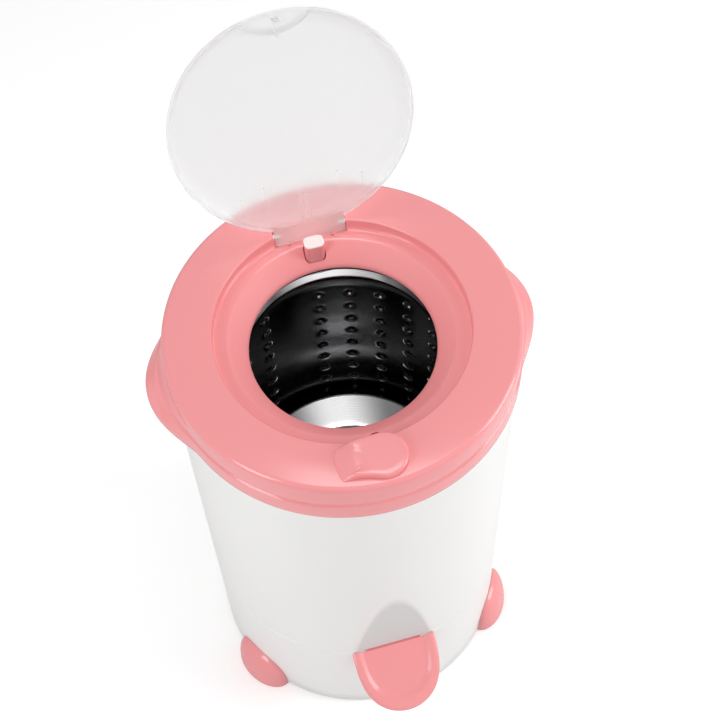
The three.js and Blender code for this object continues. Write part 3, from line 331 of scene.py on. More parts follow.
def base_section(angle):
    z_low, z_top = BASE_LIFT, SEAM
    outside = [(casing_outside(angle, z_low, 0.0016), z_low)]
    outside += [(casing_outside(angle, z_low + 0.0005, 0.0005), z_low + 0.0005)]
    outside += [(casing_outside(angle, z), z) for z in (0.0055, 0.03, 0.06, 0.09)]
    outside += [(casing_outside(angle, 0.1 + 0.002 * i), 0.1 + 0.002 * i) for i in range(34)]
    outside += [(casing_outside(angle, z_top - 0.0008), z_top - 0.0008),
                (casing_outside(angle, z_top, EDGE), z_top)]
    tongue = [(casing_outside(angle, z, inset), z)
              for inset, z in ((0.0030, z_top), (0.0030, TONGUE_TOP), (0.0050, TONGUE_TOP),
                               (0.0050, TONGUE_LOW), (CASING_WALL, TONGUE_LOW - 0.003))]
    inside = [(casing_outside(angle, z, CASING_WALL), z) for z in (0.14, 0.12, 0.104, 0.06, 0.0067)]
    return outside + tongue + inside + [(FLANGE_INNER, 0.0066), (FLANGE_INNER, z_low)]


def solid_box(x, y, z, rounding=0.0, segments=3):
    """A box as a mesh object, with its upright edges rounded."""
    work = bmesh.new()
    bmesh.ops.create_cube(work, size=1)
    for vertex in work.verts:
        vertex.co = Vector(((x[0] + x[1]) / 2 + vertex.co.x * (x[1] - x[0]),
                            (y[0] + y[1]) / 2 + vertex.co.y * (y[1] - y[0]),
                            (z[0] + z[1]) / 2 + vertex.co.z * (z[1] - z[0])))
    if rounding:
        upright = [e for e in work.edges if abs(e.verts[0].co.z - e.verts[1].co.z) > 1e-6]
        bmesh.ops.bevel(work, geom=upright, offset=rounding, segments=segments, profile=0.5,
                        affect="EDGES")
    return from_work(work)


def from_work(work):
    """Turns a finished bmesh into an object, to carve with or to keep."""
    mesh = bpy.data.meshes.new("work")
    work.to_mesh(mesh)
    work.free()
    tool = bpy.data.objects.new("work", mesh)
    bpy.context.scene.collection.objects.link(tool)
    return tool


def carve(piece, tools, operation="DIFFERENCE", sharp=40):
    """Cuts the tools out of a piece, or joins them on, and throws the tools away."""
    for tool in tools:
        change = piece.modifiers.new("carve", "BOOLEAN")
        change.operation = operation
        change.solver = "EXACT"
        change.object = tool
        bpy.context.view_layer.update()
        done = piece.evaluated_get(bpy.context.evaluated_depsgraph_get())
        mesh = bpy.data.meshes.new_from_object(done)
        piece.modifiers.clear()
        piece.data = mesh
        bpy.data.objects.remove(tool)
    smooth(piece.data, sharp)


base_casing = new_piece("base_casing", *swept_ring(base_section, ROUND_STEPS), white_plastic,
                        "casing")
notch_y = (-FLAT - 0.0023, -FLAT + 0.0056)
carve(base_casing, [
    solid_box((-SLIT_HALF, SLIT_HALF), notch_y, (SEAM - 0.0024, SEAM + 0.009)),
    solid_box((-DUCT_HALF - FIT, DUCT_HALF + FIT), notch_y, (DUCT_LOW - FIT, TONGUE_TOP + 0.001)),
])
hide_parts("base_shell")

# ---------------------------------------------------------------- feet
# Three rounded toes, moulded in pink and screwed to the base's wall from inside. Each has a sole
# that reaches in under the casing's edge and stands on the floor.

FOOT_HALF = 0.038
FOOT_HEIGHT = 0.052
FOOT_REACH = 0.0204
SOLE_DEPTH = 0.016
SOLE_TOP = BASE_LIFT - FIT
PINK = (0.885, 0.305, 0.315)

pink_plastic = moulded_plastic("pink_moulded_plastic", PINK, 0.14, 0.02, 0.00005, 0.55)


def toe_share(z, power):
    """How much of the toe's size is left at a height: 1 at the floor and 0 at its top."""
    return (1 - (z / (FOOT_HEIGHT + 0.0001)) ** power) ** (1 / power)


def toe_loops():
    """Level loops, floor to top: round the front of the toe and back along the casing's wall."""
    steps, rise = 40, 30
    sole = [(0.0, 0.0012), (0.0003, 0.0006), (0.0009, 0.0002), (0.0018, 0.0), (0.0028, 0.0)]
    sole += [(SOLE_TOP, 0.0)]
    upper = [(SOLE_TOP + (FOOT_HEIGHT - SOLE_TOP) * math.sin(math.pi / 2 * i / rise), 0.0)
             for i in range(rise + 1)]
    foot_of_wall = casing_radius(BASE_LIFT)
    loops = []
    for number, (z, rounding) in enumerate(sole + upper):
        half = FOOT_HALF * toe_share(z, 2.8) - rounding
        out = FOOT_REACH * toe_share(z, 1.8) - rounding

        def wall(x):
            return math.sqrt((casing_radius(z) + FIT) ** 2 - x ** 2)

        loop = []
        for i in range(steps + 1):
            turn = math.pi * i / steps
            x = -half * math.cos(turn)
            foot = math.sqrt(foot_of_wall ** 2 - x ** 2)
            loop.append((x, -(foot + out * math.sin(turn) ** 0.8), z))
        for i in range(steps + 1):
            x = half * (1 - 2 * i / steps)
            back = foot_of_wall - SOLE_DEPTH + rounding if number < len(sole) else wall(x)
            loop.append((x, -back, z))
        if number >= len(sole):
            loop = [(x, min(y, -wall(x) + 1e-5), z) for x, y, z in loop]
        loops.append(loop)
    return loops


def skin(loops):
    """Faces over a stack of loops, closed round, with a face over the first and the last."""
    count, faces = len(loops[0]), []
    for j in range(len(loops) - 1):
        for i in range(count):
            k = (i + 1) % count
            faces.append((j * count + i, j * count + k, (j + 1) * count + k, (j + 1) * count + i))
    faces.append(tuple(range(count)))
    faces.append(tuple(range((len(loops) - 1) * count, len(loops) * count)))
    return [p for loop in loops for p in loop], faces


toe_points, toe_faces = skin(toe_loops())
for number, angle in enumerate((60, 180, 300)):
    turn = Matrix.Rotation(math.radians(angle), 4, "Z")
    points = [turn @ Vector(p) for p in toe_points]
    foot = new_piece(f"rounded_toe_{number + 1}", points, toe_faces, pink_plastic, "casing", 50)
    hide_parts(f"foot_{number + 1}")

# ---------------------------------------------------------------- drain spout
# An open tongue of pink plastic through which the spun-out water leaves the machine. It is pushed
# through the notch in the base's flat and slopes down to a thin rounded lip.

SPOUT_HALF = 0.048
SPOUT_ROOT = FLAT + FIT
SPOUT_REACH = 0.0645
SPOUT_FALL = 0.042
SPOUT_DISH = 0.0034
LIP_DISH = 0.0027
SLIT = 0.0008
SPOUT_SHEET = 0.003
RIM_FOOT = 0.72
RIM_RISE = 0.15
DUCT_WALL = 0.002
DUCT_BACK = -0.102
PIPE = (-0.020, -0.112)
PIPE_BORE = 0.0093


def ramp(share, ends=0.2):
    """An even slope from 0 to 1 that is rounded off at both ends."""
    share = min(1.0, max(0.0, share))
    if share < ends:
        return share ** 2 / (2 * ends * (1 - ends))
    if share > 1 - ends:
        return 1 - (1 - share) ** 2 / (2 * ends * (1 - ends))
    return (share - ends / 2) / (1 - ends)


def spout_point(turn, share, sink=0.0, underneath=False):
    """A point of the dish: turn goes round its edge, and share from its root out to the edge."""
    out = math.sin(turn) ** (2 / 3) * share
    rim = ramp((share - RIM_FOOT) / RIM_RISE)
    z = SEAM - FIT - SLIT - SPOUT_FALL * out
    z -= (SPOUT_DISH + (LIP_DISH - SPOUT_DISH) * out) * (1 - rim)
    if underneath:
        z -= SPOUT_SHEET + 0.002 * rim
    return (-math.cos(turn) * share * SPOUT_HALF, -(SPOUT_ROOT + SPOUT_REACH * out), z - sink)


def spout_loops(steps=72):
    """Outlines from the root over the dish and the rounded rim, and back along the underside."""
    shares = [0.0, 0.2, 0.4, 0.55, 0.65, 0.69] + [0.71 + 0.0093 * i for i in range(19)]
    edge = [(0.915, 0.0), (0.938, 0.0001), (0.955, 0.0004), (0.971, 0.0009), (0.984, 0.0015)]
    edge += [(0.993, 0.0021), (0.998, 0.0027), (1.0, 0.0034)]
    under = [(1.0, -0.0009), (0.997, -0.0004), (0.991, -0.0001), (0.984, 0.0)]
    loops = []
    for i in range(steps + 1):
        turn = math.pi * i / steps
        loop = [spout_point(turn, share) for share in shares]
        loop += [spout_point(turn, share, sink) for share, sink in edge]
        loop += [spout_point(turn, share, sink, True) for share, sink in under]
        loops.append(loop + [spout_point(turn, share, 0, True) for share in reversed(shares)])
    return loops


def solid_rod(radius, start, end, segments=32):
    """A rod from one point to another as a mesh object."""
    start, end = Vector(start), Vector(end)
    work = bmesh.new()
    bmesh.ops.create_cone(work, cap_ends=True, segments=segments, radius1=radius,
                          radius2=radius, depth=(end - start).length)
    turn = (end - start).to_track_quat("Z", "Y").to_matrix().to_4x4()
    place = Matrix.Translation((start + end) / 2) @ turn
    bmesh.ops.transform(work, verts=work.verts, matrix=place)
    return from_work(work)


def upright_rod(radius, x, y, low, high, segments=32):
    return solid_rod(radius, (x, y, low), (x, y, high), segments)


points, faces = skin(spout_loops())
faces = [f for f in faces if len({tuple(round(c, 7) for c in points[v]) for v in f}) > 2]
spout = new_piece("open_drain_spout", points, faces, pink_plastic, "casing", 40)
spout_floor = DUCT_TOP - SPOUT_DISH
through_top = DUCT_TOP + 0.001
bore_x = (-DUCT_HALF + DUCT_WALL, DUCT_HALF - DUCT_WALL)
front_y = -SPOUT_ROOT - 0.001
carve(spout, [solid_box((-DUCT_HALF, DUCT_HALF), (-SPOUT_ROOT - 0.0006, DUCT_BACK),
                        (DUCT_LOW, DUCT_TOP))], "UNION")
carve(spout, [
    solid_box(bore_x, (front_y, DUCT_BACK - DUCT_WALL), (spout_floor, DUCT_TOP - DUCT_WALL)),
    solid_box(bore_x, (front_y, -FLAT + 0.0046), (spout_floor, through_top)),
    solid_box((-DUCT_HALF - 0.001, DUCT_HALF + 0.001), (front_y, -SPOUT_ROOT),
              (spout_floor, through_top)),
    upright_rod(PIPE_BORE, *PIPE, DUCT_TOP - 0.003, through_top),
])
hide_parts("drain_spout")

# ---------------------------------------------------------------- top cover
# The cover is one pink moulding: a flat ring with a rounded outer edge, a stepped skirt with two
# carrying grips, and a recess and funnel that lead down to the mouth of the drum.

SKIRT = 0.1735
BAND = 0.1727
GRIP_REACH = 0.194
GRIP_PROUD = 0.0185
GRIP_SPAN = math.radians(27)
GRIP_SWING = math.radians(4)
RECESS = 0.1238


def rounded(corner_r, corner_z, radius, start, end, steps=6):
    """Points round a fillet centred on (corner_r, corner_z), angles in degrees."""
    return [(corner_r + radius * math.cos(math.radians(start + (end - start) * i / steps)),
             corner_z + radius * math.sin(math.radians(start + (end - start) * i / steps)))
            for i in range(steps + 1)]


def grip_share(angle):
    """1 at the middle of either grip, falling smoothly to 0 beside it."""
    offset = abs(min(angle, 2 * math.pi - angle) - math.pi / 2 - GRIP_SWING) / GRIP_SPAN
    return math.cos(math.pi / 2 * offset) ** 1.5 if offset < 1 else 0.0


def grip_profile(depth):
    """How far the grip stands out of the skirt at a depth below the cover's top."""
    steps = [(0.019, 0), (0.022, 0.0009), (0.026, 0.0026), (0.030, 0.0050), (0.034, 0.0080),
             (0.038, 0.0114), (0.0415, 0.0146), (0.0435, 0.0166), (0.045, 0.0178),
             (0.0465, 0.0184), (0.048, GRIP_PROUD), (0.0525, GRIP_PROUD)]
    if depth <= steps[0][0]:
        return 0.0
    for (d0, o0), (d1, o1) in zip(steps, steps[1:]):
        if depth <= d1:
            return o0 + (o1 - o0) * (depth - d0) / (d1 - d0)
    return steps[-1][1]


def cover_section(angle):
    """The ring's outline: over the top and down the skirt, then inside it and up the funnel."""
    share = grip_share(angle)
    top = COVER_TOP
    line = [(RECESS, -0.0016), (RECESS + 0.0003, -0.0007), (RECESS + 0.0010, -0.0001),
            (RECESS + 0.0018, 0.0), (0.146, 0.0)]
    line += rounded(0.1671, -0.0050, 0.0050, 90, 6, 10)
    line += [(BAND - 0.0003, depth) for depth in (-0.010, -0.016, -0.019)]
    line += [(BAND - 0.0002, -depth) for depth in (0.022, 0.026, 0.0292)]
    groove = 0.0010 * (1 - share)
    line += [(BAND - groove * 0.4, -0.0300), (BAND - groove, -0.0307), (BAND - groove, -0.0318),
             (BAND - groove * 0.5 + 0.0002, -0.0326), (SKIRT - 0.0001, -0.0333)]
    line += [(SKIRT, -depth) for depth in (0.036, 0.039, 0.0415, 0.0435, 0.045, 0.0465, 0.048)]
    line += [(SKIRT, -0.0525), (SKIRT - 0.0002, -0.0545), (SKIRT - 0.0008, -0.0553),
             (SKIRT - 0.0014, -0.0555)]
    outer = []
    for r, z in line:
        proud = grip_profile(-z) * share * (GRIP_REACH - SKIRT) / GRIP_PROUD
        if z < -0.0525:
            proud -= min(proud, 0.003 * ((-z - 0.0525) / 0.003) ** 2)
        outer.append((r + proud, top + z))
    inner_skirt = [(0.1709, -0.0555), (0.1709, -0.032), (0.1691, -0.032), (0.1691, -0.007),
                   (0.1651, -0.003), (0.1264, -0.003), (0.1264, -0.0158), (0.1112, -0.0162),
                   (0.0950, -0.0332), (0.0937, -0.0350)]
    mouth = [(0.0929, -0.0356), (0.0920, -0.0357), (0.0913, -0.0352), (0.0911, -0.0344)]
    mouth += [(0.0913, -0.0330), (0.0920, -0.0313), (0.0935, -0.0293)]
    mouth += [(0.0990, -0.0238), (0.1050, -0.0182), (0.1075, -0.0159), (0.1090, -0.0147)]
    mouth += [(0.1106, -0.0139), (0.1125, -0.0135), (0.1190, -0.01325), (0.1216, -0.0131)]
    mouth += [(0.1229, -0.0125), (0.1236, -0.0114), (RECESS, -0.0100), (RECESS, -0.0050)]
    return outer + [(r, top + z) for r, z in inner_skirt + mouth]


cover = new_piece("ring_cover", *swept_ring(cover_section, 288), pink_plastic, "casing", 40)

HINGE_Y = 0.123
HINGE_Z = COVER_TOP - 0.006
PIN_HOLE = 0.0023
POCKET_HALF = 0.037
POCKET = (0.1146, 0.133)
POCKET_FLOOR = COVER_TOP - 0.0158
COVER_WALL = 0.0026
CLEAR_ABOVE = COVER_TOP + 0.01
BUTTON_Y = 0.104
LEVER_Y = -0.144
HOOK_Y = -0.1125

well = solid_box((-POCKET_HALF - COVER_WALL, POCKET_HALF + COVER_WALL),
                 (POCKET[0] - COVER_WALL, POCKET[1] + COVER_WALL),
                 (POCKET_FLOOR - COVER_WALL, COVER_TOP - 0.0005), 0.001)
carve(well, [upright_rod(RECESS + 0.0004, 0, 0, COVER_TOP - 0.0136, CLEAR_ABOVE, 288)])
hook_guide = solid_box((-0.0048, 0.0048), (HOOK_Y - 0.0030, HOOK_Y + 0.0030),
                       (COVER_TOP - 0.0176, COVER_TOP - 0.0145))
carve(cover, [well, hook_guide], "UNION")
carve(cover, [
    solid_box((-POCKET_HALF, POCKET_HALF), POCKET, (POCKET_FLOOR, CLEAR_ABOVE), 0.0012),
    solid_box((-0.0107, 0.0107), (BUTTON_Y - 0.0078, BUTTON_Y + 0.0078),
              (COVER_TOP - 0.044, COVER_TOP), 0.0045, 6),
    solid_box((-0.0036, 0.0036), (HOOK_Y - 0.0017, HOOK_Y + 0.0017),
              (COVER_TOP - 0.019, COVER_TOP - 0.0102), 0.0008),
    upright_rod(0.0043, 0, LEVER_Y, COVER_TOP - 0.004, COVER_TOP + 0.001),
    solid_rod(PIN_HOLE, (-0.0405, HINGE_Y, HINGE_Z), (-0.036, HINGE_Y, HINGE_Z)),
    solid_rod(PIN_HOLE, (0.036, HINGE_Y, HINGE_Z), (0.0405, HINGE_Y, HINGE_Z)),
])
stop_ribs = [solid_box((x - 0.0015, x + 0.0015), (POCKET[0] - 0.001, POCKET[0] + 0.0008),
                       (POCKET_FLOOR - 0.001, COVER_TOP - 0.0109)) for x in (-0.022, 0.022)]
carve(cover, stop_ribs, "UNION")
FUNNEL_RADIUS = 0.1110
FUNNEL_TOP = COVER_TOP - 0.0139
cover.data.materials.append(moulded_plastic("pink_funnel_plastic", PINK, 0.55, 0.02))
for polygon in cover.data.polygons:
    if polygon.center.z < FUNNEL_TOP and polygon.center.xy.length < FUNNEL_RADIUS:
        polygon.material_index = 1
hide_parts("top_cover")

# ---------------------------------------------------------------- lid
# The lid is a thin disc of frosted clear plastic, raised inside its rim, with a hollow for the
# lock lever, ribs on its inner face, a hook at the front and a flap that holds the hinge.

LID_ANGLE = math.radians(110)
LID_WALL = 0.0022
PLATEAU = 0.1146
LID_RADIUS = 0.1184
LID_TOP = COVER_TOP - 0.002
RIM_TOP = COVER_TOP - 0.0084
RIM_LOW = RIM_TOP - LID_WALL
HOLLOW = 0.0466
FLAP_HALF = 0.0355

frosted, tree, shader = principled("frosted_lid_plastic", {
    "Base Color": (0.80, 0.80, 0.80, 1), "Transmission Weight": 0.8, "IOR": 1.16})
roughened(tree, shader, object_noise(tree, 14, 5), 0.42, 0.55)
bumped(tree, shader, object_noise(tree, 900), 0.3, 0.0001)
through = add_node(tree, "BsdfTransparent", {"Color": (0.85, 0.85, 0.85, 1)})
shade = add_node(tree, "MixShader", {"Fac": rays_of(tree, "Is Shadow Ray"),
                                     1: shader.outputs["BSDF"], 2: through.outputs["BSDF"]})
tree.links.new(shade.outputs["Shader"], tree.nodes["Material Output"].inputs["Surface"])


def lid_section(angle):
    """The lid's outline when shut: out over the raised part, round the rim and back below."""
    rim, top, side = RIM_TOP, LID_TOP, LID_RADIUS
    outer = [(0.0, top), (0.05, top), (0.1010, top - 0.0001), (0.1060, top - 0.0009)]
    outer += [(0.1100, top - 0.0021), (0.1126, top - 0.0034), (0.1140, top - 0.0045)]
    outer += [(PLATEAU + 0.0001, top - 0.0054), (PLATEAU + 0.0006, rim + 0.0002)]
    outer += [(PLATEAU + 0.0016, rim), (side - 0.0012, rim), (side - 0.0003, rim - 0.0004)]
    outer += [(side, rim - 0.0013), (side, rim - 0.0036), (side - 0.0005, rim - 0.004)]
    inner = [(side - 0.0020, rim - 0.004), (side - LID_WALL, rim - 0.0035)]
    inner += [(side - LID_WALL - 0.0004, RIM_LOW), (PLATEAU - 0.0010, RIM_LOW)]
    inner += [(PLATEAU - 0.0022, rim - 0.0012), (0.1110, top - 0.0054), (0.1085, top - 0.0042)]
    inner += [(0.1050, top - 0.0030), (0.1000, top - LID_WALL - 0.0001)]
    return outer + inner + [(0.05, top - LID_WALL), (0.0, top - LID_WALL)]


lid = new_piece("frosted_lid", *swept_ring(lid_section, 192), frosted, "lid", 30)
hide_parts("lid")
tray = []
for reach, crest in ((PLATEAU - 0.0010, LID_TOP - 0.0037), (0.1090, LID_TOP - 0.0014)):
    step = upright_rod(HOLLOW + LID_WALL, 0, LEVER_Y, RIM_LOW, crest, 128)
    carve(step, [upright_rod(reach, 0, 0, RIM_LOW - 0.01, CLEAR_ABOVE, 192)], "INTERSECT")
    tray.append(step)
carve(lid, [upright_rod(HOLLOW + 0.001, 0, LEVER_Y, RIM_LOW + 0.0006, COVER_TOP, 128)])
carve(lid, tray, "UNION")
carve(lid, [upright_rod(HOLLOW, 0, LEVER_Y, RIM_TOP, CLEAR_ABOVE, 128),
            upright_rod(0.024, 0, LEVER_Y, RIM_LOW - 0.006, COVER_TOP, 64)])
flap = solid_box((-FLAP_HALF, FLAP_HALF), (HINGE_Y - 0.012, HINGE_Y + 0.008), (RIM_LOW, RIM_TOP),
                 0.0012)
hook = solid_box((-0.003, 0.003), (HOOK_Y - 0.0011, HOOK_Y + 0.0011),
                 (COVER_TOP - 0.024, RIM_LOW + 0.001))
hook_web = solid_box((-0.0012, 0.0012), (HOOK_Y, -0.092), (RIM_LOW - 0.002, RIM_LOW + 0.001))
knuckles = [solid_rod(0.0034, (x, HINGE_Y, HINGE_Z), (x + 0.0046, HINGE_Y, HINGE_Z))
            for x in (-FLAP_HALF, 0.0309)]
ribs = [solid_box((x - 0.0006, x + 0.0006), (HINGE_Y - far, HINGE_Y - near),
                  (LID_TOP - LID_WALL - deep, LID_TOP - 0.001))
        for x, near, far, deep in ((-0.005, 0.014, 0.041, 0.003), (0, 0.014, 0.043, 0.003),
                                   (0.005, 0.014, 0.041, 0.003), (-0.0365, 0.0175, 0.058, 0.002),
                                   (0.0365, 0.0175, 0.058, 0.002), (-0.0605, 0.028, 0.050, 0.002),
                                   (0.0605, 0.028, 0.050, 0.002))]
carve(lid, [solid_box((-FLAP_HALF, FLAP_HALF), (HINGE_Y - 0.02, HINGE_Y),
                      (COVER_TOP - 0.0134, RIM_LOW))])
carve(lid, [flap, hook, hook_web] + knuckles + ribs, "UNION", 30)
carve(lid, [solid_rod(PIN_HOLE, (-0.04, HINGE_Y, HINGE_Z), (0.04, HINGE_Y, HINGE_Z), 24),
            solid_box((-0.006, 0.0015), (HOOK_Y - 0.002, HOOK_Y + 0.002),
                      (COVER_TOP - 0.0222, COVER_TOP - 0.018))], "DIFFERENCE", 30)
open_up = (Matrix.Translation((0, HINGE_Y, HINGE_Z)) @ Matrix.Rotation(-LID_ANGLE, 4, "X")
           @ Matrix.Translation((0, -HINGE_Y, -HINGE_Z)))
lid.data.transform(open_up)

# ---------------------------------------------------------------- hinge pins
# Two short pins of white plastic, pressed through the ends of the hinge well into the knuckles of
# the lid's flap. Their ends are chamfered.

PIN_RADIUS = 0.002
PIN_LENGTH = 0.0097

for side, x in (("left", -0.0396), ("right", 0.0299)):
    pin = solid_rod(PIN_RADIUS, (x, HINGE_Y, HINGE_Z), (x + PIN_LENGTH, HINGE_Y, HINGE_Z))
    pin.name = f"stub_pin_{side}"
    bevel = pin.modifiers.new("edge", "BEVEL")
    bevel.width, bevel.segments = 0.0004, 3
    pin.data.materials.append(white_plastic)
    smooth(pin.data)
    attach(pin, "casing")
    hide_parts(f"hinge_pin_{side}")

# ---------------------------------------------------------------- lock lever
# A comma of pink plastic, turned with the thumb: a round head over its shaft, and a tail that
# falls away from a low crest to a thin curved end.

LEVER_HEAD = 0.0225
LEVER_TAIL = 0.045
LEVER_HEIGHT = 0.008
LEVER_CREST = 0.031


def arc(radius, start, sweep, steps):
    """Points of an arc about the lever's shaft, angles in degrees."""
    angles = [math.radians(start + sweep * i / steps) for i in range(steps + 1)]
    return [(radius * math.cos(a), radius * math.sin(a)) for a in angles]


def lever_outline():
    """The lever's outline about its shaft, anticlockwise from the tail's back corner."""
    tail = arc(LEVER_TAIL, 154, 46, 24)
    head = arc(LEVER_HEAD, 246, 204, 60)
    start, end = Vector(tail[-1]), Vector(head[0])
    c1 = Vector((-LEVER_TAIL * 0.76, -LEVER_HEAD * 0.62))
    c2 = Vector((-LEVER_HEAD * 1.05, -LEVER_HEAD * 0.62))
    waist = []
    for i in range(1, 24):
        t = i / 24
        waist.append(tuple(start * (1 - t) ** 3 + c1 * 3 * t * (1 - t) ** 2
                           + c2 * 3 * t * t * (1 - t) + end * t ** 3))
    back = [(head[-1][0] + (tail[0][0] - head[-1][0]) * i / 20,
             head[-1][1] + (tail[0][1] - head[-1][1]) * i / 20) for i in range(1, 20)]
    return tail + waist + head + back


def eased(loop, times):
    """A loop with each point drawn towards its neighbours a number of times."""
    for _ in range(times):
        loop = [((loop[i - 1][0] + 2 * x + loop[(i + 1) % len(loop)][0]) / 4,
                 (loop[i - 1][1] + 2 * y + loop[(i + 1) % len(loop)][1]) / 4)
                for i, (x, y) in enumerate(loop)]
    return loop


def lever_height(x, y):
    """Full over the head; past the crest it falls to a thin end along the tail."""
    reach = math.hypot(x, y) if x < 0 else 0.0
    fall = min(1.0, max(0.0, (reach - LEVER_CREST) / (LEVER_TAIL - LEVER_CREST)))
    rise = math.exp(-((reach - LEVER_CREST) / 0.006) ** 2) * 0.0009 if x < 0 else 0.0
    return LEVER_HEIGHT - 0.0009 + rise - 0.0052 * fall * fall * (3 - 2 * fall)


outline = eased(lever_outline(), 6)
middle = Vector((-0.009, 0.0015))
EDGE_ROUND = 0.0026
loops = []
for inset, sink in ((0, None), (0, 0.0024), (0.0002, 0.0015), (0.0007, 0.0007), (0.0015, 0.0002),
                    (EDGE_ROUND, 0.0), (0.0060, 0.0), (0.0110, 0.0), (0.0160, 0.0), (0.0195, 0.0)):
    loop = []
    for i, (x, y) in enumerate(outline):
        x0, y0 = outline[i - 1]
        x1, y1 = outline[(i + 1) % len(outline)]
        length = math.hypot(x1 - x0, y1 - y0)
        if inset <= EDGE_ROUND:
            px, py = x - inset * (y1 - y0) / length, y + inset * (x1 - x0) / length
        else:
            away = Vector((x, y)) - middle
            away *= max(0.0, 1 - inset / 0.0215)
            px, py = (middle + away)[:]
        z = FIT if sink is None else lever_height(px, py) - sink
        loop.append((px, LEVER_Y + py, COVER_TOP + z))
    loops.append(loop)
lever = new_piece("lock_lever", *skin(loops), pink_plastic, "lever", 60)
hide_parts("latch_lever")

# ---------------------------------------------------------------- interlock button
# A square stem of pink plastic with a pale cap pushed on its end. It slides in a square hole of
# the cover: the shut lid holds it down, and its foot closes a switch.

BUTTON_HALF = (0.01, 0.0071)

pale_plastic = moulded_plastic("pale_button_plastic", (0.93, 0.80, 0.79), 0.3, 0.01)
for name, cad_name, low, high, material, slot in (
        ("button_stem", "interlock_button", 0.0340, 0.0038, pink_plastic, "pink_plastic"),
        ("button_top", "button_cap", 0.0035, 0.0015, pale_plastic, "pale_plastic")):
    part = solid_box((-BUTTON_HALF[0], BUTTON_HALF[0]),
                     (BUTTON_Y - BUTTON_HALF[1], BUTTON_Y + BUTTON_HALF[1]),
                     (COVER_TOP - low, COVER_TOP - high), 0.0052, 8)
    part.name = name
    bevel = part.modifiers.new("edge", "BEVEL")
    bevel.width, bevel.segments = 0.0007, 3
    bevel.limit_method = "ANGLE"
    bevel.angle_limit = math.radians(50)
    part.data.materials.append(material)
    smooth(part.data)
    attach(part, "button")
    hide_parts(cad_name)

# ---------------------------------------------------------------- drum
# Rolled stainless sheet with an inturned lip, a spun and dished floor that rises to the hub, and
# columns of drain holes, each punched through the middle of a small dimple. It hangs on its shaft.

DRUM = 0.128
DRUM_WALL = 0.0016
DRUM_INNER = DRUM - DRUM_WALL
LIP_TOP = 0.530
HOLE_LOW, HOLE_HIGH, HOLE_ROWS = 0.2501, 0.4733, 9
COLUMNS = 24
BLANK_COLUMNS = (1, 7, 13, 19)
COLUMN_SHIFT = math.radians(2)

# The rolled sheet's colour is kept very dark: painted shade for the shadowed inside of the drum.
rolled_steel, tree, shader = principled("rolled_stainless", {
    "Metallic": 1.0, "Base Color": (0.09, 0.09, 0.094, 1)})
place = add_node(tree, "TexCoord").outputs["Object"]
stretch = add_node(tree, "Mapping", {"Scale": (1, 1, 30), "Vector": place})
lines = add_node(tree, "TexNoise", {"Scale": 30, "Detail": 4, "Vector": stretch.outputs[0]})
roughened(tree, shader, lines.outputs["Fac"], 0.10, 0.20)
bumped(tree, shader, lines.outputs["Fac"], 0.12, 0.0002)

# A lighter copy of the rolled sheet for the dimples' slopes: a painted highlight.
dimple_highlight_steel = rolled_steel.copy()
dimple_highlight_steel.name = "painted_highlight_dimple_steel"
dimple_highlight_shader = dimple_highlight_steel.node_tree.nodes["Principled BSDF"]
dimple_highlight_shader.inputs["Base Color"].default_value = (0.7, 0.7, 0.7, 1)


def spun_metal(name, near, far, bright, dull):
    """Spun sheet with fine rings, and a painted highlight: its colour falls from bright to dull
    away from the machine's middle, fixed in space.
    """
    material, tree, shader = principled(name, {"Metallic": 1.0, "Anisotropic": 0.75})
    around_axis = add_node(tree, "Tangent", direction_type="RADIAL", axis="Z")
    tree.links.new(around_axis.outputs[0], shader.inputs["Tangent"])
    place = add_node(tree, "TexCoord").outputs["Object"]
    rings = add_node(tree, "TexWave", {"Scale": 180, "Distortion": 1.5, "Vector": place},
                     wave_type="RINGS", rings_direction="Z").outputs["Fac"]
    roughened(tree, shader, rings, 0.16, 0.26)
    bumped(tree, shader, rings, 0.1, 0.0001)
    # Painted highlight: the colour follows the distance from the machine's middle in world space,
    # so it stays put as the drum turns.
    spot = add_node(tree, "NewGeometry").outputs["Position"]
    apart = add_node(tree, "SeparateXYZ", {0: spot}).outputs["X"]
    aside = add_node(tree, "Math", {0: apart, 1: 0.008}, operation="SUBTRACT").outputs[0]
    across = add_node(tree, "Math", {0: aside}, operation="ABSOLUTE").outputs[0]
    painted_highlight = add_node(tree, "MapRange", {"Value": across, "From Min": near, "From Max": far,
                                        "To Min": bright, "To Max": dull},
                     interpolation_type="SMOOTHSTEP")
    tree.links.new(painted_highlight.outputs["Result"], shader.inputs["Base Color"])
    return material


def dimple_rim(polygon):
    """Whether a face belongs to the slope of a dimple, which takes the brighter copy: a painted
    highlight.
    """
    return (HOLE_LOW < polygon.center.z < HOLE_HIGH
            and DRUM_INNER + 0.0001 < polygon.center.xy.length < DRUM_INNER + 0.0027)


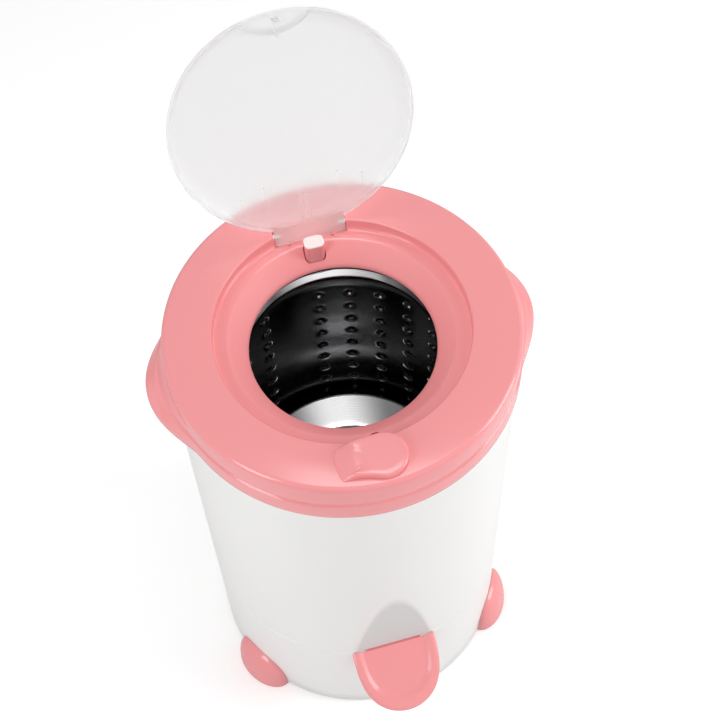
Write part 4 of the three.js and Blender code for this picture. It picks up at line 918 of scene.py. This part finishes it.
def drum_wall():
    """The wall's inner face: a strip of square cells, most with a dimpled hole in the middle."""
    points, faces, cache = [], [], {}
    radius = DRUM_INNER
    cell_z = (HOLE_HIGH - HOLE_LOW) / HOLE_ROWS
    cell_w = radius * 2 * math.pi / COLUMNS
    side = 6
    dimple = [(0.0085, 0.0), (0.0070, 0.0), (0.0063, 0.0003), (0.0055, 0.0010),
              (0.0045, 0.0021), (0.0036, 0.0028), (0.0030, 0.0031), (0.0028, 0.0042)]
    plain = [(0.0085, 0.0), (0.0040, 0.0), (0.0015, 0.0)]

    def vertex(u, z, depth=0.0):
        angle = u / radius
        around = round(u * 1e6) % round(2 * math.pi * radius * 1e6)
        key = (around, round(z * 1e6), round(depth * 1e6))
        if key not in cache:
            r = radius + depth
            cache[key] = len(points)
            points.append((r * math.sin(angle), -r * math.cos(angle), z))
        return cache[key]

    for column in range(COLUMNS):
        u0 = (column - 0.5) * cell_w - radius * COLUMN_SHIFT
        blank = column in BLANK_COLUMNS
        for row in range(HOLE_ROWS):
            z0 = HOLE_LOW + row * cell_z
            square = [(u0 + cell_w * i / side, z0) for i in range(side)]
            square += [(u0 + cell_w, z0 + cell_z * i / side) for i in range(side)]
            square += [(u0 + cell_w * (1 - i / side), z0 + cell_z) for i in range(side)]
            square += [(u0, z0 + cell_z * (1 - i / side)) for i in range(side)]
            rings = [[vertex(u, z) for u, z in square]]
            cu, cz = u0 + cell_w / 2, z0 + cell_z / 2
            for ring_radius, depth in plain if blank else dimple:
                ring = []
                for u, z in square:
                    angle = math.atan2(z - cz, u - cu)
                    ring.append(vertex(cu + ring_radius * math.cos(angle),
                                       cz + ring_radius * math.sin(angle), depth))
                rings.append(ring)
            for outer, inner in zip(rings, rings[1:]):
                for i in range(len(outer)):
                    k = (i + 1) % len(outer)
                    faces.append((outer[i], outer[k], inner[k], inner[i]))
            if blank:
                faces.append(tuple(rings[-1]))
    return points, faces


def drum_line():
    """The rest of the inner face, lip to top of holes, then holes to the middle of the floor."""
    inner = DRUM_INNER
    lip = [(0.1080, LIP_TOP - 0.0030), (0.1084, LIP_TOP - 0.0019), (0.1096, LIP_TOP - 0.0014)]
    lip += [(0.1120, LIP_TOP - 0.0012), (0.1165, LIP_TOP - 0.0016)]
    lip += rounded(inner - 0.0100, LIP_TOP - 0.0120, 0.0100, 78, 0, 8)
    lip += [(inner, 0.508), (inner, 0.4885), (inner - 0.0004, 0.4878), (inner - 0.0004, 0.4868)]
    lip += [(inner, 0.4861), (inner, HOLE_HIGH)]
    low = [(inner, HOLE_LOW), (inner - 0.0004, 0.2488), (inner - 0.0018, 0.2466)]
    low += [(inner - 0.0045, 0.2456), (0.1200, 0.2476), (0.1182, 0.2530), (0.1168, 0.2584)]
    low += [(0.1158, 0.2607), (0.1146, 0.2615), (0.1132, 0.2613), (0.1118, 0.2607)]
    low += [(0.1080, 0.2592), (0.1000, 0.2558), (0.0900, 0.2516), (0.0820, 0.2486)]
    low += [(0.0770, 0.2476), (0.0720, 0.2476), (0.0640, 0.2496), (0.0560, 0.2530)]
    low += [(0.0460, 0.2576), (0.0380, 0.2602), (0.0300, 0.2615), (0.0200, 0.2620)]
    low += [(0.0100, 0.2620)]
    return lip, low


points, faces = drum_wall()
for line in drum_line():
    start = len(points)
    around = 144
    for i in range(around):
        angle = 2 * math.pi * (i - 3) / around - COLUMN_SHIFT
        points += [(r * math.sin(angle), -r * math.cos(angle), z) for r, z in line]
    for i in range(around):
        here, there = start + i * len(line), start + (i + 1) % around * len(line)
        faces += [(here + j, there + j, there + j + 1, here + j + 1) for j in range(len(line) - 1)]
drum = new_piece("steel_drum", points, faces, rolled_steel, "drum", 50)
# The floor's colour carries a painted highlight, bright at the machine's middle and dull to the
# sides.
drum.data.materials.append(spun_metal("spun_floor_steel", 0.006, 0.060, 0.97, 0.25))
drum.data.materials.append(dimple_highlight_steel)
FLOOR_RADIUS = 0.1150
FLOOR_TOP = 0.2640
for polygon in drum.data.polygons:
    if polygon.center.z < FLOOR_TOP and polygon.center.xy.length < FLOOR_RADIUS:
        polygon.material_index = 1
    elif dimple_rim(polygon):
        polygon.material_index = 2
skin_of_sheet = drum.modifiers.new("sheet", "SOLIDIFY")
skin_of_sheet.thickness = 0.0012
skin_of_sheet.offset = -1
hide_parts("drum")

# ---------------------------------------------------------------- tub mouth
# A pressed steel funnel ring is snapped on the tub's edge, over the drum's lip, and throws spray
# back down. A black rubber lip on it closes the way up to the underside of the cover.

dark_rubber = moulded_plastic("black_rubber", (0.028, 0.028, 0.03), 0.75, 0.1, 0.0004)
# The funnel ring's colour carries a painted highlight, bright at the machine's middle and near
# black to the sides.
mouth_steel = spun_metal("pressed_mouth_steel", 0.004, 0.060, 0.85, 0.03)
RING_LOW, RING_TOP = 0.5340, 0.5452


def mouth_ring_section(angle):
    """The ring's outline: up the slope to its crest, down to the tub's edge and back below."""
    top = [(0.0965, RING_LOW + 0.0002), (0.0968, RING_LOW + 0.0012), (0.0978, RING_LOW + 0.0024)]
    top += [(0.1010, RING_LOW + 0.0054), (0.1045, RING_LOW + 0.0084), (0.1070, RING_LOW + 0.0102)]
    top += [(0.1095, RING_TOP), (0.1125, RING_TOP), (0.1160, 0.5430), (0.1200, 0.5390)]
    top += [(0.1240, 0.5372), (0.1448, 0.5370), (0.1450, 0.5368)]
    under = [(0.1450, 0.5342), (0.1448, 0.5340), (0.1220, 0.5342), (0.1165, 0.5385)]
    return top + under + [(0.1115, 0.5425), (0.1080, 0.5415), (0.1010, 0.5350), (0.0975, RING_LOW)]


def mouth_seal_section(angle):
    """The lip's outline, from its raised inner edge out to the ring's crest and back below."""
    above = [(0.0962, 0.5497), (0.0976, 0.5498), (0.1030, 0.5482), (0.1100, 0.5460)]
    return above + [(0.1098, 0.5455), (0.1030, 0.5455), (0.0982, 0.5463), (0.0968, 0.5480)]


for name, section, material, slot, cad_name in (
        ("mouth_funnel_ring", mouth_ring_section, mouth_steel, "stainless", "tub_ring"),
        ("mouth_lip_seal", mouth_seal_section, dark_rubber, "black_rubber", "mouth_seal")):
    ring = new_piece(name, *swept_ring(section, 192), material, "casing", 45)
    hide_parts(cad_name)

# ---------------------------------------------------------------- interlock switch
# A snap switch in a black plastic case with two screw holes. It sits under the hinge well, beside
# the button's foot, which works it.

dark_plastic = moulded_plastic("black_moulding", (0.04, 0.04, 0.043), 0.5, 0.05)
SCREW_HOLE_Z = 0.5450
switch = solid_box((0.0065, 0.0130), (0.1040, 0.1160), (0.5433, 0.5493), 0.0006)
carve(switch, [solid_rod(0.0011, (0, y, SCREW_HOLE_Z), (0.02, y, SCREW_HOLE_Z))
               for y in (0.1068, 0.1132)])
switch.name = "snap_switch"
switch.data.materials.append(dark_plastic)
smooth(switch.data)
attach(switch, "casing")
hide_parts("microswitch")

# ---------------------------------------------------------------- everything inside
# The pieces that the casing hides keep their solids and take the finish of what they are: motor,
# brake, tub and mounts, screwed and clipped to the base pan and to the suspension plate.

grey_plastic = moulded_plastic("natural_moulding", (0.74, 0.74, 0.72), 0.45, 0.03)
lining = moulded_plastic("brake_lining", (0.13, 0.085, 0.06), 0.9, 0.2, 0.0006)


def worked_metal(name, colour, roughness, grain):
    """Plated, turned or cast metal: patchy tone, and a surface as rough as its making leaves."""
    material, tree, shader = principled(name, {"Metallic": 1.0})
    patches = object_noise(tree, 60, 6)
    toned(tree, shader, colour, varied(tree, patches, 0.85, 1.1))
    roughened(tree, shader, patches, roughness * 0.7, roughness * 1.3)
    bumped(tree, shader, patches, 0.4, grain)
    return material


plated = worked_metal("zinc_plate", (0.6, 0.61, 0.62), 0.3, 0.0001)
cast = worked_metal("cast_alloy", (0.42, 0.43, 0.44), 0.55, 0.0006)
windings = worked_metal("varnished_windings", (0.36, 0.2, 0.1), 0.5, 0.0008)
finishes = {
    "white_plastic": white_plastic, "pink_plastic": pink_plastic, "pale_plastic": pale_plastic,
    "inner_plastic": grey_plastic, "dark_plastic": dark_plastic, "black_rubber": dark_rubber,
    "stainless": rolled_steel, "plated_steel": plated, "cast_metal": cast,
    "winding_core": windings, "brake_lining": lining, "frosted_plastic": frosted,
}
for row in frame["record"]["subparts"]:
    solid = frame["nodes"][row["node"]]
    if solid.hide_render:
        continue
    solid.data.materials.clear()
    solid.data.materials.append(finishes[row["material_slot"]])
    smooth(solid.data, 30)
